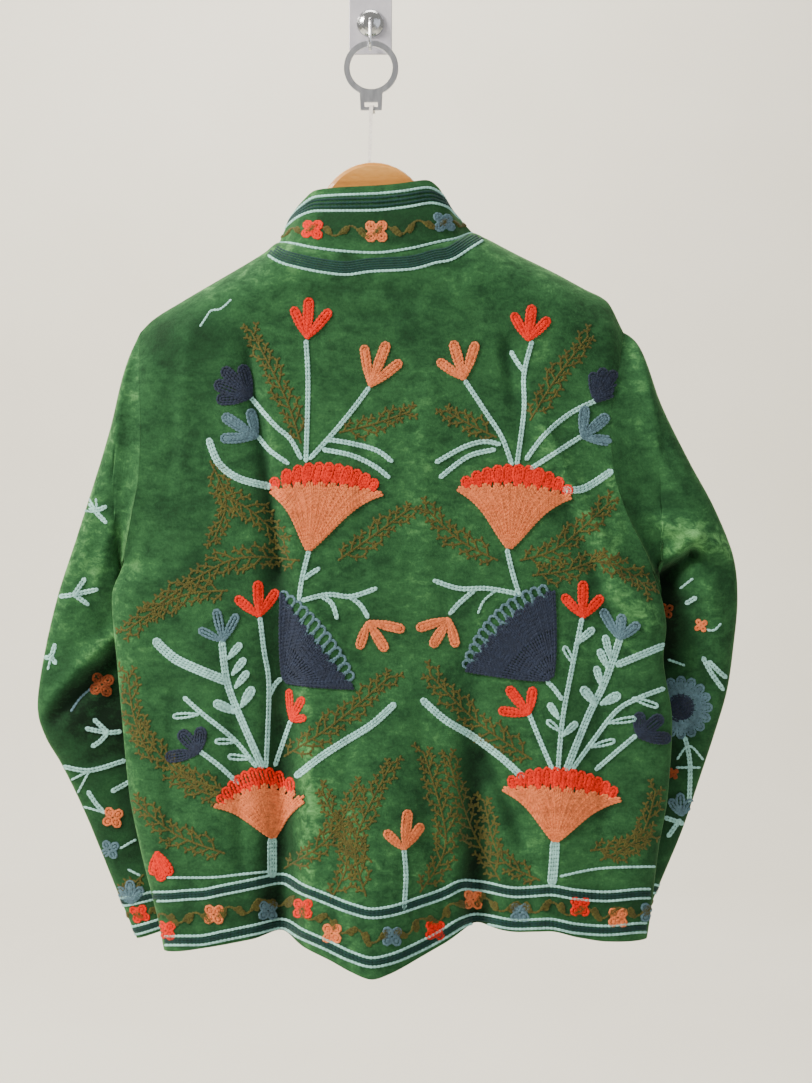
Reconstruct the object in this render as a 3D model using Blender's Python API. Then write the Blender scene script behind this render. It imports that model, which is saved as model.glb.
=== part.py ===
"""A suzani jacket of velvet, hung back side out on a flat wooden hanger, with the strap, ring and wall hook.

The origin is the middle of the wall plate's back face. The wall is the plane y = 0, -Y looks into the room
at the jacket's back, and +Z is up. Every size below is in millimetres, and the meshes are made in metres.

A cloth piece starts as a grid of outer points. Its inner points lie one cloth thickness inside, and the two
grids are closed along their edges, so each piece is a thin wall. Pieces stop SEAM_GAP short of each other.
"""

import math
from functools import partial

import bpy
import numpy as np

MM = 0.001

# Cloth
CLOTH = 2.4
SEAM_GAP = 0.3
ARMHOLE_GAP = 0.6
FRONT_GAP = 3.0
SMALL_GAP = 0.3
CENTRE_X = 5.0

# Lines where the jacket's pieces meet
ARMPIT_Z = {"left": -593.0, "right": -606.0}
SHOULDER_SEAM_Y = -52.0
ARMHOLE_BACK = 27.0
ARMHOLE_FRONT = 17.0

# Side seams and armholes, a row for each height: where the body's left and right edges are
EDGES = {
    "z": (-355, -400, -460, -500, -540, -595, -628, -660, -690, -757, -830, -890, -960, -992),
    "left": (-238, -235, -232, -233, -240, -253, -264, -262, -259, -253, -246, -234, -217, -211),
    "right": (264, 255, 246, 249, 261, 288, 300, 305, 302, 311, 307, 297, 289, 284),
}

# Depth of the side seam, a row for each height
SEAM_DEPTH = {
    "z": (-355, -460, -595, -650, -900, -992),
    "y": (-52, -58, -66, -72, -70, -66),
}

# Back of the jacket along its top edge: shoulder seams outside, neckline between
BACK_TOP = {
    "x": (-238, -225, -194, -156, -109, -93, -77, -56, -25, 6, 38, 68, 90, 107, 119, 152, 193, 223, 246, 264),
    "z": (-355, -342, -323, -301, -273, -262, -268, -275, -280, -282, -278, -270, -263, -252, -257, -274,
          -294, -310, -322, -355),
    "y": (-52, -52, -52, -52, -52, -52, -75, -86, -91, -92, -91, -86, -75, -52, -52, -52, -52, -52, -52, -52),
}

# Front neckline from the left shoulder to the right one, meeting at the centre front
FRONT_NECK = {
    "x": (-93, -91.5, -89, -84, -70, -36, 5, 46, 84, 98, 103, 105.5, 107),
    "z": (-262, -263, -266, -276, -298, -322, -332, -320, -290, -266, -256, -253, -252),
    "y": (-52, -44.5, -40.5, -38, -35, -31, -29, -31, -35, -38, -40.5, -44.5, -52),
}

# Collar, a row for each section from the left front end round the back to the right front end
COLLAR = {
    "base_x": (3, -36, -70, -84, -90, -93, -77, -56, -25, 6, 38, 68, 90, 107, 104, 98, 84, 46, 7),
    "top_x": (0, -38, -72, -83, -86, -83, -69, -53, -28, 2, 36, 59, 72, 85, 94, 96, 88, 48, 8),
    "top_y": (-14, -10, -9, -14, -22, -38, -60, -71, -78, -80, -80, -75, -66, -40, -24, -15, -10, -10, -14),
    "top_z": (-284, -274, -258, -249, -241, -233, -220, -211, -210, -209, -206, -202, -208, -226, -231,
              -240, -252, -272, -284),
}
COLLAR_LIFT = 0.6

# Hem, a row for each turn of its edge as it hangs
BACK_HEM = {
    "x": (-211, -175, -116, -88, -68, -40, -16, 5, 21, 50, 76, 97, 110, 151, 181, 211, 241, 284),
    "z": (-991, -985, -974, -969, -976, -985, -995, -1001, -997, -986, -975, -965, -962, -967, -966, -973,
          -978, -979),
}
FRONT_HEM = {
    "x": (-211, -160, -100, 5, 110, 180, 240, 284),
    "z": (-991, -978, -968, -965, -962, -964, -972, -979),
}

# How far the panels stand off from the wall between the seams
BACK_Y = -86.0
BACK_CROWN = 10.0
CROWN_HALF_WIDTH = 270.0
FRONT_STAND_OFF = {
    "z": (-262, -430, -560, -640, -992),
    "side": (-37, -38, -49, -52, -52),
    "middle": (-35, -36, -39, -41, -41),
}
FRONT_CENTRE_HALF_WIDTH = 95.0

# Roundings where a panel turns over to its neighbour
BACK_SIDE_ROUND = 34.0
FRONT_SIDE_ROUND = 24.0
ARMHOLE_ROUND = 75.0
ARMPIT_BLEND = 30.0
BACK_SHOULDER_ROUND = 62.0
FRONT_SHOULDER_ROUND = 28.0

# Folds: half width, depth at the first and last point (positive dips toward the wall), route as (x, z)
BACK_FOLDS = (
    (15.0, 3.0, 6.0, ((-123, -378), (-114, -437), (-102, -511), (-92, -610))),
    (17.0, 5.0, 26.0, ((-92, -610), (-86, -735), (-87, -850), (-88, -985))),
    (15.0, 2.0, 25.0, ((102, -700), (107, -783), (110, -860), (110, -980))),
    (62.0, 0.0, -47.0, ((5, -690), (5, -820), (5, -1010))),
    (34.0, -2.0, -9.0, ((-42, -640), (-52, -800), (-52, -960))),
    (13.0, -3.0, -6.0, ((178, -454), (209, -520), (242, -572), (254, -625), (290, -655))),
    (12.0, 4.0, 3.0, ((196, -545), (228, -600), (246, -650))),
    (9.0, 4.0, 2.0, ((143, -375), (150, -427), (158, -470))),
    (11.0, 5.0, 4.0, ((118, -790), (134, -826), (150, -862))),
    (26.0, -5.0, -4.0, ((190, -700), (200, -840), (196, -960))),
    (24.0, -4.0, -4.0, ((-165, -680), (-160, -830), (-150, -960))),
    (12.0, -5.0, -3.0, ((250, -512), (254, -540), (262, -566))),
)
FRONT_FOLDS = (
    (22.0, 4.0, 7.0, ((-120, -520), (-112, -760), (-105, -960))),
    (20.0, -4.0, -6.0, ((-62, -560), (-58, -780), (-60, -955))),
    (22.0, 4.0, 7.0, ((130, -500), (122, -760), (118, -955))),
    (20.0, -4.0, -5.0, ((70, -580), (68, -790), (66, -955))),
)

# Sleeves, a row for each section below the armhole: outer edge, inner edge, half thickness
SLEEVE_COLUMNS = ("out_x", "out_y", "out_z", "in_x", "in_y", "in_z", "belly")
SLEEVE_SECTIONS = {
    "left": (
        (-252, -54, -389, -260, -46, -608, 27),
        (-267, -54, -451, -258, -36, -628, 25),
        (-286, -53, -513, -243, -30, -650, 22),
        (-305, -50, -570, -219, -28, -680, 20),
        (-325, -46, -629, -200, -24, -716, 18),
        (-340, -42, -690, -190, -22, -758, 17),
        (-348, -38, -744, -187, -21, -792, 17),
        (-341, -34, -776, -189, -21, -815, 16),
        (-324, -31, -807, -189, -21, -836, 15),
        (-303, -29, -851, -180, -21, -862, 14),
        (-284, -28, -897, -169, -21, -890, 14),
        (-265, -27, -945, -154, -21, -920, 14),
        (-246, -27, -990, -138, -21, -950, 14),
    ),
    "right": (
        (281, -54, -370, 302, -49, -621, 27),
        (301, -56, -428, 309, -40, -637, 27),
        (330, -58, -488, 309, -33, -652, 26),
        (357, -56, -537, 302, -28, -672, 23),
        (378, -50, -587, 290, -24, -698, 20),
        (384, -44, -631, 282, -22, -726, 18),
        (381, -39, -680, 273, -21, -750, 17),
        (375, -35, -728, 263, -21, -772, 16),
        (362, -32, -775, 250, -21, -796, 15),
        (346, -30, -825, 236, -21, -824, 14),
        (329, -29, -876, 221, -21, -856, 14),
        (308, -28, -927, 203, -21, -892, 14),
        (287, -27, -977, 184, -21, -931, 14),
    ),
}
SLEEVE_FULLNESS = 0.35
SLEEVE_FOLDS = {
    "left": (
        (11.0, -4.0, -7.0, ((-343, -735), (-296, -690), (-268, -662))),
        (12.0, 7.0, 10.0, ((-338, -762), (-296, -716), (-262, -690))),
        (9.0, 4.0, 3.0, ((-290, -488), (-262, -497), (-240, -506))),
        (10.0, -5.0, -3.0, ((-262, -555), (-272, -590), (-284, -620))),
        (10.0, 4.0, 3.0, ((-300, -610), (-282, -640), (-270, -664))),
    ),
    "right": (
        (12.0, -6.0, -9.0, ((292, -553), (326, -562), (354, -574), (372, -583))),
        (13.0, 12.0, 6.0, ((306, -606), (322, -592), (344, -592), (364, -600))),
        (10.0, -5.0, -3.0, ((352, -620), (364, -650), (366, -690))),
        (10.0, 4.0, 3.0, ((275, -480), (300, -520), (318, -540))),
        (12.0, 4.0, 3.0, ((350, -720), (330, -765), (322, -800))),
    ),
}

# Grids: rows down the armhole as shares of it, even rows below, and columns as shares of a panel's width.
# The first TURNED_ROWS rows turn over the shoulder seam, and their inner points stay on their own side of it.
ARMHOLE_ROWS = (0.0, 0.007, 0.025, 0.065, 0.14, 0.24, 0.36, 0.49, 0.62, 0.76, 0.9, 1.0)
ROWS_BELOW_ARMPIT = 15
TURNED_ROWS = 4
EDGE_SHARES = (0.006, 0.018, 0.036, 0.06)
BACK_SHOULDER_STEPS = 8
BACK_NECK_STEPS = 14
FRONT_SHOULDER_STEPS = 4
FRONT_NECK_SHARES = (0.025, 0.08, 0.19, 0.37, 0.58, 0.79, 1.0)
SLEEVE_RINGS = 23
COLLAR_ROWS = 4
COLLAR_TURNS = (5, 13)
SLEEVE_FOLDS_FROM_RING = 3
CLOTH_SHARP_FROM = 60
HARD_SHARP_FROM = 40
ROUNDING_SEGMENTS = 2

# Hanger: arms follow the shoulder seams from inside
HANGER_HALF_LENGTH = 181.0
HANGER_THICK = 10.4
HANGER_EDGE_ROUND = 4.8
HANGER_UNDER_SEAM = 4.6
HANGER_ARM_DEEP = 27.0
HANGER_END_RADIUS = 12.0
HANGER_MIDDLE_LOW_Z = -270.0
HANGER_MIDDLE_SPAN = (20.0, 95.0)
CREST_X = 4.0
CREST_Z = -234.0
CREST_RADIUS = 55.8
HANGER_CORNER_STEP = 2.0
CREST_ANGLES = (176, 4)
RIGHT_END_ANGLES = (50, -60)
LEFT_END_ANGLES = (240, 130)
ARM_STEPS = 10
CREST_STEPS = 20
END_STEPS = 5

# Wall plate and hook
PLATE_WIDE = 46.0
PLATE_TALL = 100.0
PLATE_THICK = 3.0
PLATE_CORNER = 6.0
PLATE_EDGE_ROUND = 0.8
PLATE_CORNER_STEPS = 5
DOME_Z = -17.0
DOME_RADIUS = 15.0
DOME_HIGH = 8.0
DOME_RINGS = 6
DOME_AROUND = 28
WIRE_THICK = 3.7
WIRE_POINTS = 30
HOOK_ROUTE = ((-17.5, -17.0), (-21.6, -18.6), (-23.8, -23.0), (-24.0, -30.0), (-23.9, -40.0), (-22.6, -45.6),
              (-17.0, -49.0), (-11.8, -45.8), (-10.8, -40.5))

# Ring, neck tab and strap
RING_X = 1.0
RING_Y = -17.0
RING_Z = -69.1
RING_OUTER = 29.0
RING_INNER = 22.8
RING_THICK = 2.5
TAB_HALF_TOP = 12.2
TAB_HALF_LOW = 11.2
TAB_LOW_Z = -114.0
SLOT_HALF = 7.0
SLOT_LOW_Z = -110.8
SLOT_HIGH_Z = -105.6
RING_STEPS = 36
CUTTER_LONGER = 6.0
STRAP_THICK = 1.3
STRAP_WIDE_TOP = 5.4
STRAP_WIDE_LOW = 2.8
STRAP_TOP_X = 2.5
STRAP_LOW_X = -0.4
STRAP_SECTIONS = 30
STRAP_ROUTE = ((-14.6, -117.0), (-14.5, -111.4), (-15.0, -109.9), (-17.0, -109.4), (-19.0, -109.9),
               (-19.7, -111.4), (-24.5, -121.0), (-34.5, -141.5), (-44.5, -162.0), (-49.6, -171.5),
               (-51.6, -175.6))


def at(table, column, key, value):
    """A column of a table read at any value of its key column, as a smooth curve with no overshoot."""
    xs = np.array(table[key], float)
    ys = np.array(table[column], float)
    if xs[0] > xs[-1]:
        xs, ys = xs[::-1], ys[::-1]
    slopes = np.diff(ys) / np.diff(xs)
    ends = np.zeros(len(xs))
    ends[0], ends[-1] = slopes[0], slopes[-1]
    same_way = slopes[:-1] * slopes[1:] > 0
    flat = np.where(same_way, slopes[:-1] + slopes[1:], 1.0)
    ends[1:-1] = np.where(same_way, 2 * slopes[:-1] * slopes[1:] / flat, 0.0)
    value = float(min(max(value, xs[0]), xs[-1]))
    i = int(min(max(np.searchsorted(xs, value) - 1, 0), len(xs) - 2))
    width = xs[i + 1] - xs[i]
    t = (value - xs[i]) / width
    return float(
        (1 + 2 * t) * (1 - t) ** 2 * ys[i]
        + t * (1 - t) ** 2 * width * ends[i]
        + t * t * (3 - 2 * t) * ys[i + 1]
        + t * t * (t - 1) * width * ends[i + 1]
    )


def smooth(value, low, high):
    """0 below low, 1 above high, and an S curve between."""
    t = min(max((value - low) / (high - low), 0.0), 1.0)
    return t * t * (3 - 2 * t)


def quarter_round(distance, radius):
    """Height of a quarter circle of unit height, that distance in from its foot."""
    left = max(1 - distance / radius, 0.0)
    return math.sqrt(max(1 - left * left, 0.0))


def fold_depth(folds, x, z):
    """Sum of the folds at a point: each is a soft trough or ridge along its route."""
    total = 0.0
    for half_width, first, last, route in folds:
        spans = [math.dist(a, b) for a, b in zip(route, route[1:])]
        nearest, along, walked = math.inf, 0.0, 0.0
        for (ax, az), (bx, bz), span in zip(route, route[1:], spans):
            t = ((x - ax) * (bx - ax) + (z - az) * (bz - az)) / span**2
            t = min(max(t, 0.0), 1.0)
            away = math.hypot(x - ax - t * (bx - ax), z - az - t * (bz - az))
            if away < nearest:
                nearest, along = away, (walked + t * span) / sum(spans)
            walked += span
        total += (first + (last - first) * along) * math.exp(-((nearest / half_width) ** 2))
    return total


def armhole_share(side, z):
    """0 at the shoulder tip and the armpit, 1 half way down the armhole."""
    tip = EDGES["z"][0]
    down = min(max((tip - z) / (tip - ARMPIT_Z[side]), 0.0), 1.0)
    return math.sqrt(max(1 - (2 * down - 1) ** 2, 0.0))


def edge_depth(side, z, face):
    """Depth of the panel's side edge: on the side seam, or off it along the armhole."""
    off = {"back": -ARMHOLE_BACK, "front": ARMHOLE_FRONT}[face]
    return at(SEAM_DEPTH, "y", "z", z) + off * armhole_share(side, z)


def panel_rows():
    """Names of the rows of every body panel, as shares of the armhole and then of the side seam."""
    below = [(1.0, (i + 1) / ROWS_BELOW_ARMPIT) for i in range(ROWS_BELOW_ARMPIT)]
    return [(share, 0.0) for share in ARMHOLE_ROWS] + below


def row_z(row, top, armpit, hem):
    """Height of a row in one column of a panel."""
    in_armhole, in_side = row
    if in_side:
        return armpit + (hem - armpit) * in_side
    return top + (armpit - top) * in_armhole


def side_turn(side, z, inset, round_below):
    """0 on the panel's side edge and 1 where the panel has turned flat."""
    closed = quarter_round(inset, round_below)
    opened = smooth(inset, -ARMHOLE_ROUND, ARMHOLE_ROUND) * 2 - 1
    armpit = ARMPIT_Z[side]
    share = smooth(z, armpit - ARMPIT_BLEND, armpit + ARMPIT_BLEND)
    return closed + (opened - closed) * share


def edge_z(side, row):
    """Height at which a row meets the panel's side edge."""
    return row_z(row, EDGES["z"][0], ARMPIT_Z[side], EDGES["z"][-1])


def back_point(across, row):
    """Outer point of the back panel. across runs from the left edge, 0, to the right edge, 1."""
    armpit = ARMPIT_Z["left"] + (ARMPIT_Z["right"] - ARMPIT_Z["left"]) * across
    top_x = EDGES["left"][0] + (EDGES["right"][0] - EDGES["left"][0]) * across
    hem_x = EDGES["left"][-1] + (EDGES["right"][-1] - EDGES["left"][-1]) * across
    top_z = at(BACK_TOP, "z", "x", top_x)
    z = row_z(row, top_z, armpit, at(BACK_HEM, "z", "x", hem_x))
    left = at(EDGES, "left", "z", z)
    right = at(EDGES, "right", "z", z)
    x = left + (right - left) * across
    flat = BACK_Y - BACK_CROWN * (1 - ((x - CENTRE_X) / CROWN_HALF_WIDTH) ** 2) + fold_depth(BACK_FOLDS, x, z)
    side, inset = ("left", x - left) if across < 0.5 else ("right", right - x)
    turned = side_turn(side, edge_z(side, row), inset, BACK_SIDE_ROUND)
    y = edge_depth(side, edge_z(side, row), "back") * (1 - turned) + flat * turned
    top_y = at(BACK_TOP, "y", "x", top_x)
    return x, top_y + (y - top_y) * quarter_round(top_z - z, BACK_SHOULDER_ROUND) - SEAM_GAP / 2, z


def front_point(side, across, row):
    """Outer point of a front panel. across runs from the side seam, 0, to the centre front, 1."""
    facing = {"left": -1, "right": 1}[side]
    middle = CENTRE_X + facing * FRONT_GAP / 2
    tip_x, hem_x = EDGES[side][0], EDGES[side][-1]
    top_x = tip_x + (middle - tip_x) * across
    neck_x = FRONT_NECK["x"][0 if side == "left" else -1]
    in_neck = abs(top_x - CENTRE_X) < abs(neck_x - CENTRE_X)
    edge = FRONT_NECK if in_neck else BACK_TOP
    top_z, top_y = at(edge, "z", "x", top_x), at(edge, "y", "x", top_x)
    hem_z = at(FRONT_HEM, "z", "x", hem_x + (middle - hem_x) * across)
    z = row_z(row, top_z, ARMPIT_Z[side], hem_z)
    outside = at(EDGES, side, "z", z)
    x = outside + (middle - outside) * across
    towards_centre = 1 - smooth(abs(x - CENTRE_X), FRONT_CENTRE_HALF_WIDTH / 2, 2 * FRONT_CENTRE_HALF_WIDTH)
    beside, between = (at(FRONT_STAND_OFF, column, "z", z) for column in ("side", "middle"))
    flat = beside + (between - beside) * towards_centre + fold_depth(FRONT_FOLDS, x, z)
    turned = side_turn(side, edge_z(side, row), abs(x - outside), FRONT_SIDE_ROUND)
    y = edge_depth(side, edge_z(side, row), "front") * (1 - turned) + flat * turned
    return x, top_y + (y - top_y) * quarter_round(top_z - z, FRONT_SHOULDER_ROUND) + SEAM_GAP / 2, z


def grid(point, columns, rows):
    """Points of a panel as an array of rows by columns by x, y, z."""
    return np.array([[point(across, row) for across in columns] for row in rows], float)


def sleeve_loop(section, steps):
    """One closed section of a sleeve: a flattened, slightly egg-shaped round from outer to inner edge."""
    named = dict(zip(SLEEVE_COLUMNS, section))
    outer = np.array([named["out_x"], named["out_y"], named["out_z"]], float)
    inner = np.array([named["in_x"], named["in_y"], named["in_z"]], float)
    centre, half = (outer + inner) / 2, (outer - inner) / 2
    loop = []
    for i in range(steps):
        turn = 2 * math.pi * i / steps
        fuller = 1 + SLEEVE_FULLNESS * math.cos(turn)
        loop.append(centre + half * math.cos(turn) - np.array([0, named["belly"] * math.sin(turn) * fuller, 0]))
    return np.array(loop)


def through(loops, count):
    """That many loops read from a smooth curve through each point of the given loops."""
    made = []
    last = len(loops) - 1
    for k in range(count):
        place = last * k / (count - 1)
        i = min(int(place), last - 1)
        t = place - i
        a, b = loops[max(i - 1, 0)], loops[i]
        c, d = loops[i + 1], loops[min(i + 2, last)]
        made.append(
            0.5 * (2 * b + (c - a) * t + (2 * a - 5 * b + 4 * c - d) * t**2 + (3 * b - a - 3 * c + d) * t**3)
        )
    return np.array(made)


def armhole_loop(side, panels, values):
    """Points or normals round an armhole: down the back's edge from the shoulder, up the front's edge."""
    count = len(ARMHOLE_ROWS)
    behind = panels["back"][values][:count, 0 if side == "left" else -1]
    ahead = panels[f"front_{side}"][values][:count, 0]
    return np.concatenate([behind, ahead[-2:0:-1]])


def sleeve_grid(side, panels):
    """Outer points of a sleeve, ring by ring. Its first ring follows the armhole edges of back and front."""
    facing = {"left": -1, "right": 1}[side]
    armhole = armhole_loop(side, panels, "points")
    for shared in (0, len(ARMHOLE_ROWS) - 1):
        armhole[shared, 1] += SEAM_GAP / 2
    armhole[:, 0] += facing * ARMHOLE_GAP
    loops = [armhole] + [sleeve_loop(row, len(armhole)) for row in SLEEVE_SECTIONS[side]]
    rings = through(loops, SLEEVE_RINGS)
    for k, ring in enumerate(rings[1:], 1):
        for i, point in enumerate(ring):
            seen = max(math.sin(2 * math.pi * i / len(armhole)), 0.0) * min(k / SLEEVE_FOLDS_FROM_RING, 1.0)
            point[1] += fold_depth(SLEEVE_FOLDS[side], point[0], point[2]) * seen
    return rings


def collar_grid(panels):
    """Outer points of the collar, base row first. Its base stands on the panels' neckline points."""
    last = len(COLLAR["top_x"]) - 1
    left, right = FRONT_NECK["x"][0], FRONT_NECK["x"][-1]
    base = []
    for name, first_step, last_step, order in (
        ("front_left", 0, COLLAR_TURNS[0], -1),
        ("back", COLLAR_TURNS[0], COLLAR_TURNS[1], 1),
        ("front_right", COLLAR_TURNS[1], last, 1),
    ):
        steps = np.arange(first_step, last_step + 1)
        xs = np.array(COLLAR["base_x"])[first_step : last_step + 1]
        neck = [point for point in panels[name]["points"][0] if left - 0.1 < point[0] < right + 0.1]
        for point in neck[::order]:
            way = 1 if xs[-1] > xs[0] else -1
            place = float(np.interp(way * point[0], way * xs, steps))
            if not base or place > base[-1][0] + 0.05:
                base.append((place, point))
    table = {"step": tuple(range(last + 1)), **COLLAR}
    columns = []
    for place, point in base:
        low = point.copy()
        top = np.array([at(table, f"top_{axis}", "step", place) for axis in "xyz"])
        low += (top - low) / np.linalg.norm(top - low) * COLLAR_LIFT
        columns.append([low + (top - low) * i / COLLAR_ROWS for i in range(COLLAR_ROWS + 1)])
    return np.transpose(np.array(columns), (1, 0, 2))


def outward(points, around):
    """Unit normals of a grid, from the neighbours of each point. around says that a row closes on itself."""
    if around:
        along_row = np.roll(points, -1, axis=1) - np.roll(points, 1, axis=1)
    else:
        along_row = np.gradient(points, axis=1)
    normals = np.cross(np.gradient(points, axis=0), along_row)
    return normals / np.linalg.norm(normals, axis=2, keepdims=True)


def flatten(normals, where, axis):
    """Normals on a seam turned into its plane, so that two pieces meet face to face. They point up at a corner."""
    flat = normals[where]
    flat[..., axis] = 0
    size = np.linalg.norm(flat, axis=-1, keepdims=True)
    normals[where] = np.where(size < 0.05, (0.0, 0.0, 1.0), flat / np.maximum(size, 0.05))


def smooth_shaded(made, sharp_from):
    made.data.polygons.foreach_set("use_smooth", [True] * len(made.data.polygons))
    made.data.set_sharp_from_angle(angle=math.radians(sharp_from))


def new_object(name, points, faces, material):
    """A mesh of points in millimetres, linked to the scene."""
    mesh = bpy.data.meshes.new(name)
    mesh.from_pydata([tuple(float(c) * MM for c in p) for p in points], [], faces)
    mesh.materials.append(material)
    mesh.update()
    made = bpy.data.objects.new(name, mesh)
    bpy.context.scene.collection.objects.link(made)
    return made


def cloth_piece(name, outer, inner, around, material, mirrored=False):
    """A thin wall: the outer grid, the inner grid one cloth thickness inside, and the rims between them."""
    if mirrored:
        outer, inner = outer[:, ::-1], inner[:, ::-1]
    rows, columns = outer.shape[:2]
    points = np.concatenate([outer.reshape(-1, 3), inner.reshape(-1, 3)])
    count = rows * columns
    faces = []
    for r in range(rows - 1):
        for c in range(columns if around else columns - 1):
            after = (c + 1) % columns
            quad = (r * columns + c, (r + 1) * columns + c, (r + 1) * columns + after, r * columns + after)
            faces.append(quad)
            faces.append(tuple(count + i for i in reversed(quad)))
    rims = [[c for c in range(columns)], [(rows - 1) * columns + c for c in reversed(range(columns))]]
    if around:
        rims = [rim + rim[:1] for rim in rims]
    else:
        ends = [r * columns + columns - 1 for r in range(rows)], [r * columns for r in reversed(range(rows))]
        rims = [rims[0], ends[0], rims[1], ends[1]]
    for rim in rims:
        for a, b in zip(rim, rim[1:]):
            faces.append((a, b, count + b, count + a))
    smooth_shaded(new_object(name, points, faces, material), CLOTH_SHARP_FROM)


def material(name, colour, roughness, metallic=0.0):
    made = bpy.data.materials.new(name)
    made.use_nodes = True
    shader = made.node_tree.nodes["Principled BSDF"]
    shader.inputs["Base Color"].default_value = (*colour, 1.0)
    shader.inputs["Roughness"].default_value = roughness
    shader.inputs["Metallic"].default_value = metallic
    return made


def columns_through(stops):
    """Shares across a panel. Each stop is a share and the number of even steps that lead up to it."""
    shares = [0.0]
    for share, steps in stops:
        before = shares[-1]
        shares += [before + (share - before) * (i + 1) / steps for i in range(steps)]
    return shares


def back_columns():
    """Close together at the side seams, with a column on each shoulder's neck point."""
    left, right = EDGES["left"][0], EDGES["right"][0]
    necks = [(FRONT_NECK["x"][end] - left) / (right - left) for end in (0, -1)]
    turning = [(share, 1) for share in EDGE_SHARES]
    closing = [(1 - share, 1) for share in reversed(EDGE_SHARES[:-1])] + [(1.0, 1)]
    left_shoulder, neck = (necks[0], BACK_SHOULDER_STEPS), (necks[1], BACK_NECK_STEPS)
    right_shoulder = (1 - EDGE_SHARES[-1], BACK_SHOULDER_STEPS)
    return columns_through(turning + [left_shoulder, neck, right_shoulder] + closing)


def front_columns(side):
    """Close together at the side seam, with a column on the shoulder's neck point."""
    tip = EDGES[side][0]
    neck_x = FRONT_NECK["x"][0 if side == "left" else -1]
    neck = (neck_x - tip) / (CENTRE_X - math.copysign(FRONT_GAP / 2, CENTRE_X - tip) - tip)
    turning = [(2 * share, 1) for share in EDGE_SHARES]
    inside = [(neck + (1 - neck) * share, 1) for share in FRONT_NECK_SHARES]
    return columns_through(turning + [(neck, FRONT_SHOULDER_STEPS)] + inside)


def make_body(velvet):
    """Back and both fronts. Returns their outer points and normals, which the sleeves and collar start from."""
    rows = panel_rows()
    armhole = np.arange(len(ARMHOLE_ROWS) - 1)
    seam = np.arange(len(ARMHOLE_ROWS) - 1, len(rows))
    panels = {}
    for name, points, sides in (
        ("back", grid(back_point, back_columns(), rows), (0, -1)),
        ("front_left", grid(partial(front_point, "left"), front_columns("left"), rows), (0,)),
        ("front_right", grid(partial(front_point, "right"), front_columns("right"), rows), (0,)),
    ):
        turned = name == "front_left"
        normals = outward(points, False) * (-1 if turned else 1)
        tops = points[0, :, 0]
        shoulder = np.flatnonzero((tops <= FRONT_NECK["x"][0] + 0.1) | (tops >= FRONT_NECK["x"][-1] - 0.1))
        neck = np.setdiff1d(np.arange(len(tops)), shoulder)
        flatten(normals, (np.array([0]), shoulder), 1)
        flatten(normals, (np.array([0]), neck), 2)
        for column in sides:
            flatten(normals, (armhole, np.array([column])), 0)
            flatten(normals, (seam, np.array([column])), 1)
        inner = points - normals * CLOTH
        keep = np.minimum if name == "back" else np.maximum
        inner[:TURNED_ROWS, :, 1] = keep(inner[:TURNED_ROWS, :, 1], points[0, shoulder[0], 1])
        panels[name] = {"points": points, "normals": normals}
        cloth_piece(name, points, inner, False, velvet, turned)
    return panels


def slab(name, outline, near, thick, rounding, material):
    """A flat board: an outline in x and z, clockwise from the room, with its thickness in y and rounded edges."""
    count = len(outline)
    points = [(x, near, z) for x, z in outline] + [(x, near + thick, z) for x, z in outline]
    faces = [tuple(reversed(range(count))), tuple(range(count, 2 * count))]
    faces += [(i, (i + 1) % count, count + (i + 1) % count, count + i) for i in range(count)]
    made = new_object(name, points, faces, material)
    smooth_shaded(made, HARD_SHARP_FROM)
    if rounding:
        bevel = made.modifiers.new("rounded edges", "BEVEL")
        bevel.width = rounding * MM
        bevel.segments = ROUNDING_SEGMENTS
        bevel.limit_method = "ANGLE"
        bevel.angle_limit = math.radians(HARD_SHARP_FROM)
    return made


def arc(x, z, radius, start, end, steps):
    """Points round a circle, from one angle in degrees to another."""
    turns = [math.radians(start + (end - start) * i / steps) for i in range(steps + 1)]
    return [(x + radius * math.cos(turn), z + radius * math.sin(turn)) for turn in turns]


def arm_top(x):
    """Top edge of a hanger arm, under the shoulder seam, and carried on in a straight line to the crest."""
    left, right = FRONT_NECK["x"][0], FRONT_NECK["x"][-1]
    if left < x < right:
        neck, out = (left, left - 30) if x < CREST_X else (right, right + 30)
        slope = (at(BACK_TOP, "z", "x", neck) - at(BACK_TOP, "z", "x", out)) / (neck - out)
        return at(BACK_TOP, "z", "x", neck) + slope * (x - neck) - HANGER_UNDER_SEAM
    return at(BACK_TOP, "z", "x", x) - HANGER_UNDER_SEAM


def arm_low(x):
    """Lower edge of the hanger, arched up at its middle."""
    share = smooth(abs(x - CREST_X), *HANGER_MIDDLE_SPAN)
    return HANGER_MIDDLE_LOW_Z + (arm_top(x) - HANGER_ARM_DEEP - HANGER_MIDDLE_LOW_Z) * share


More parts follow.
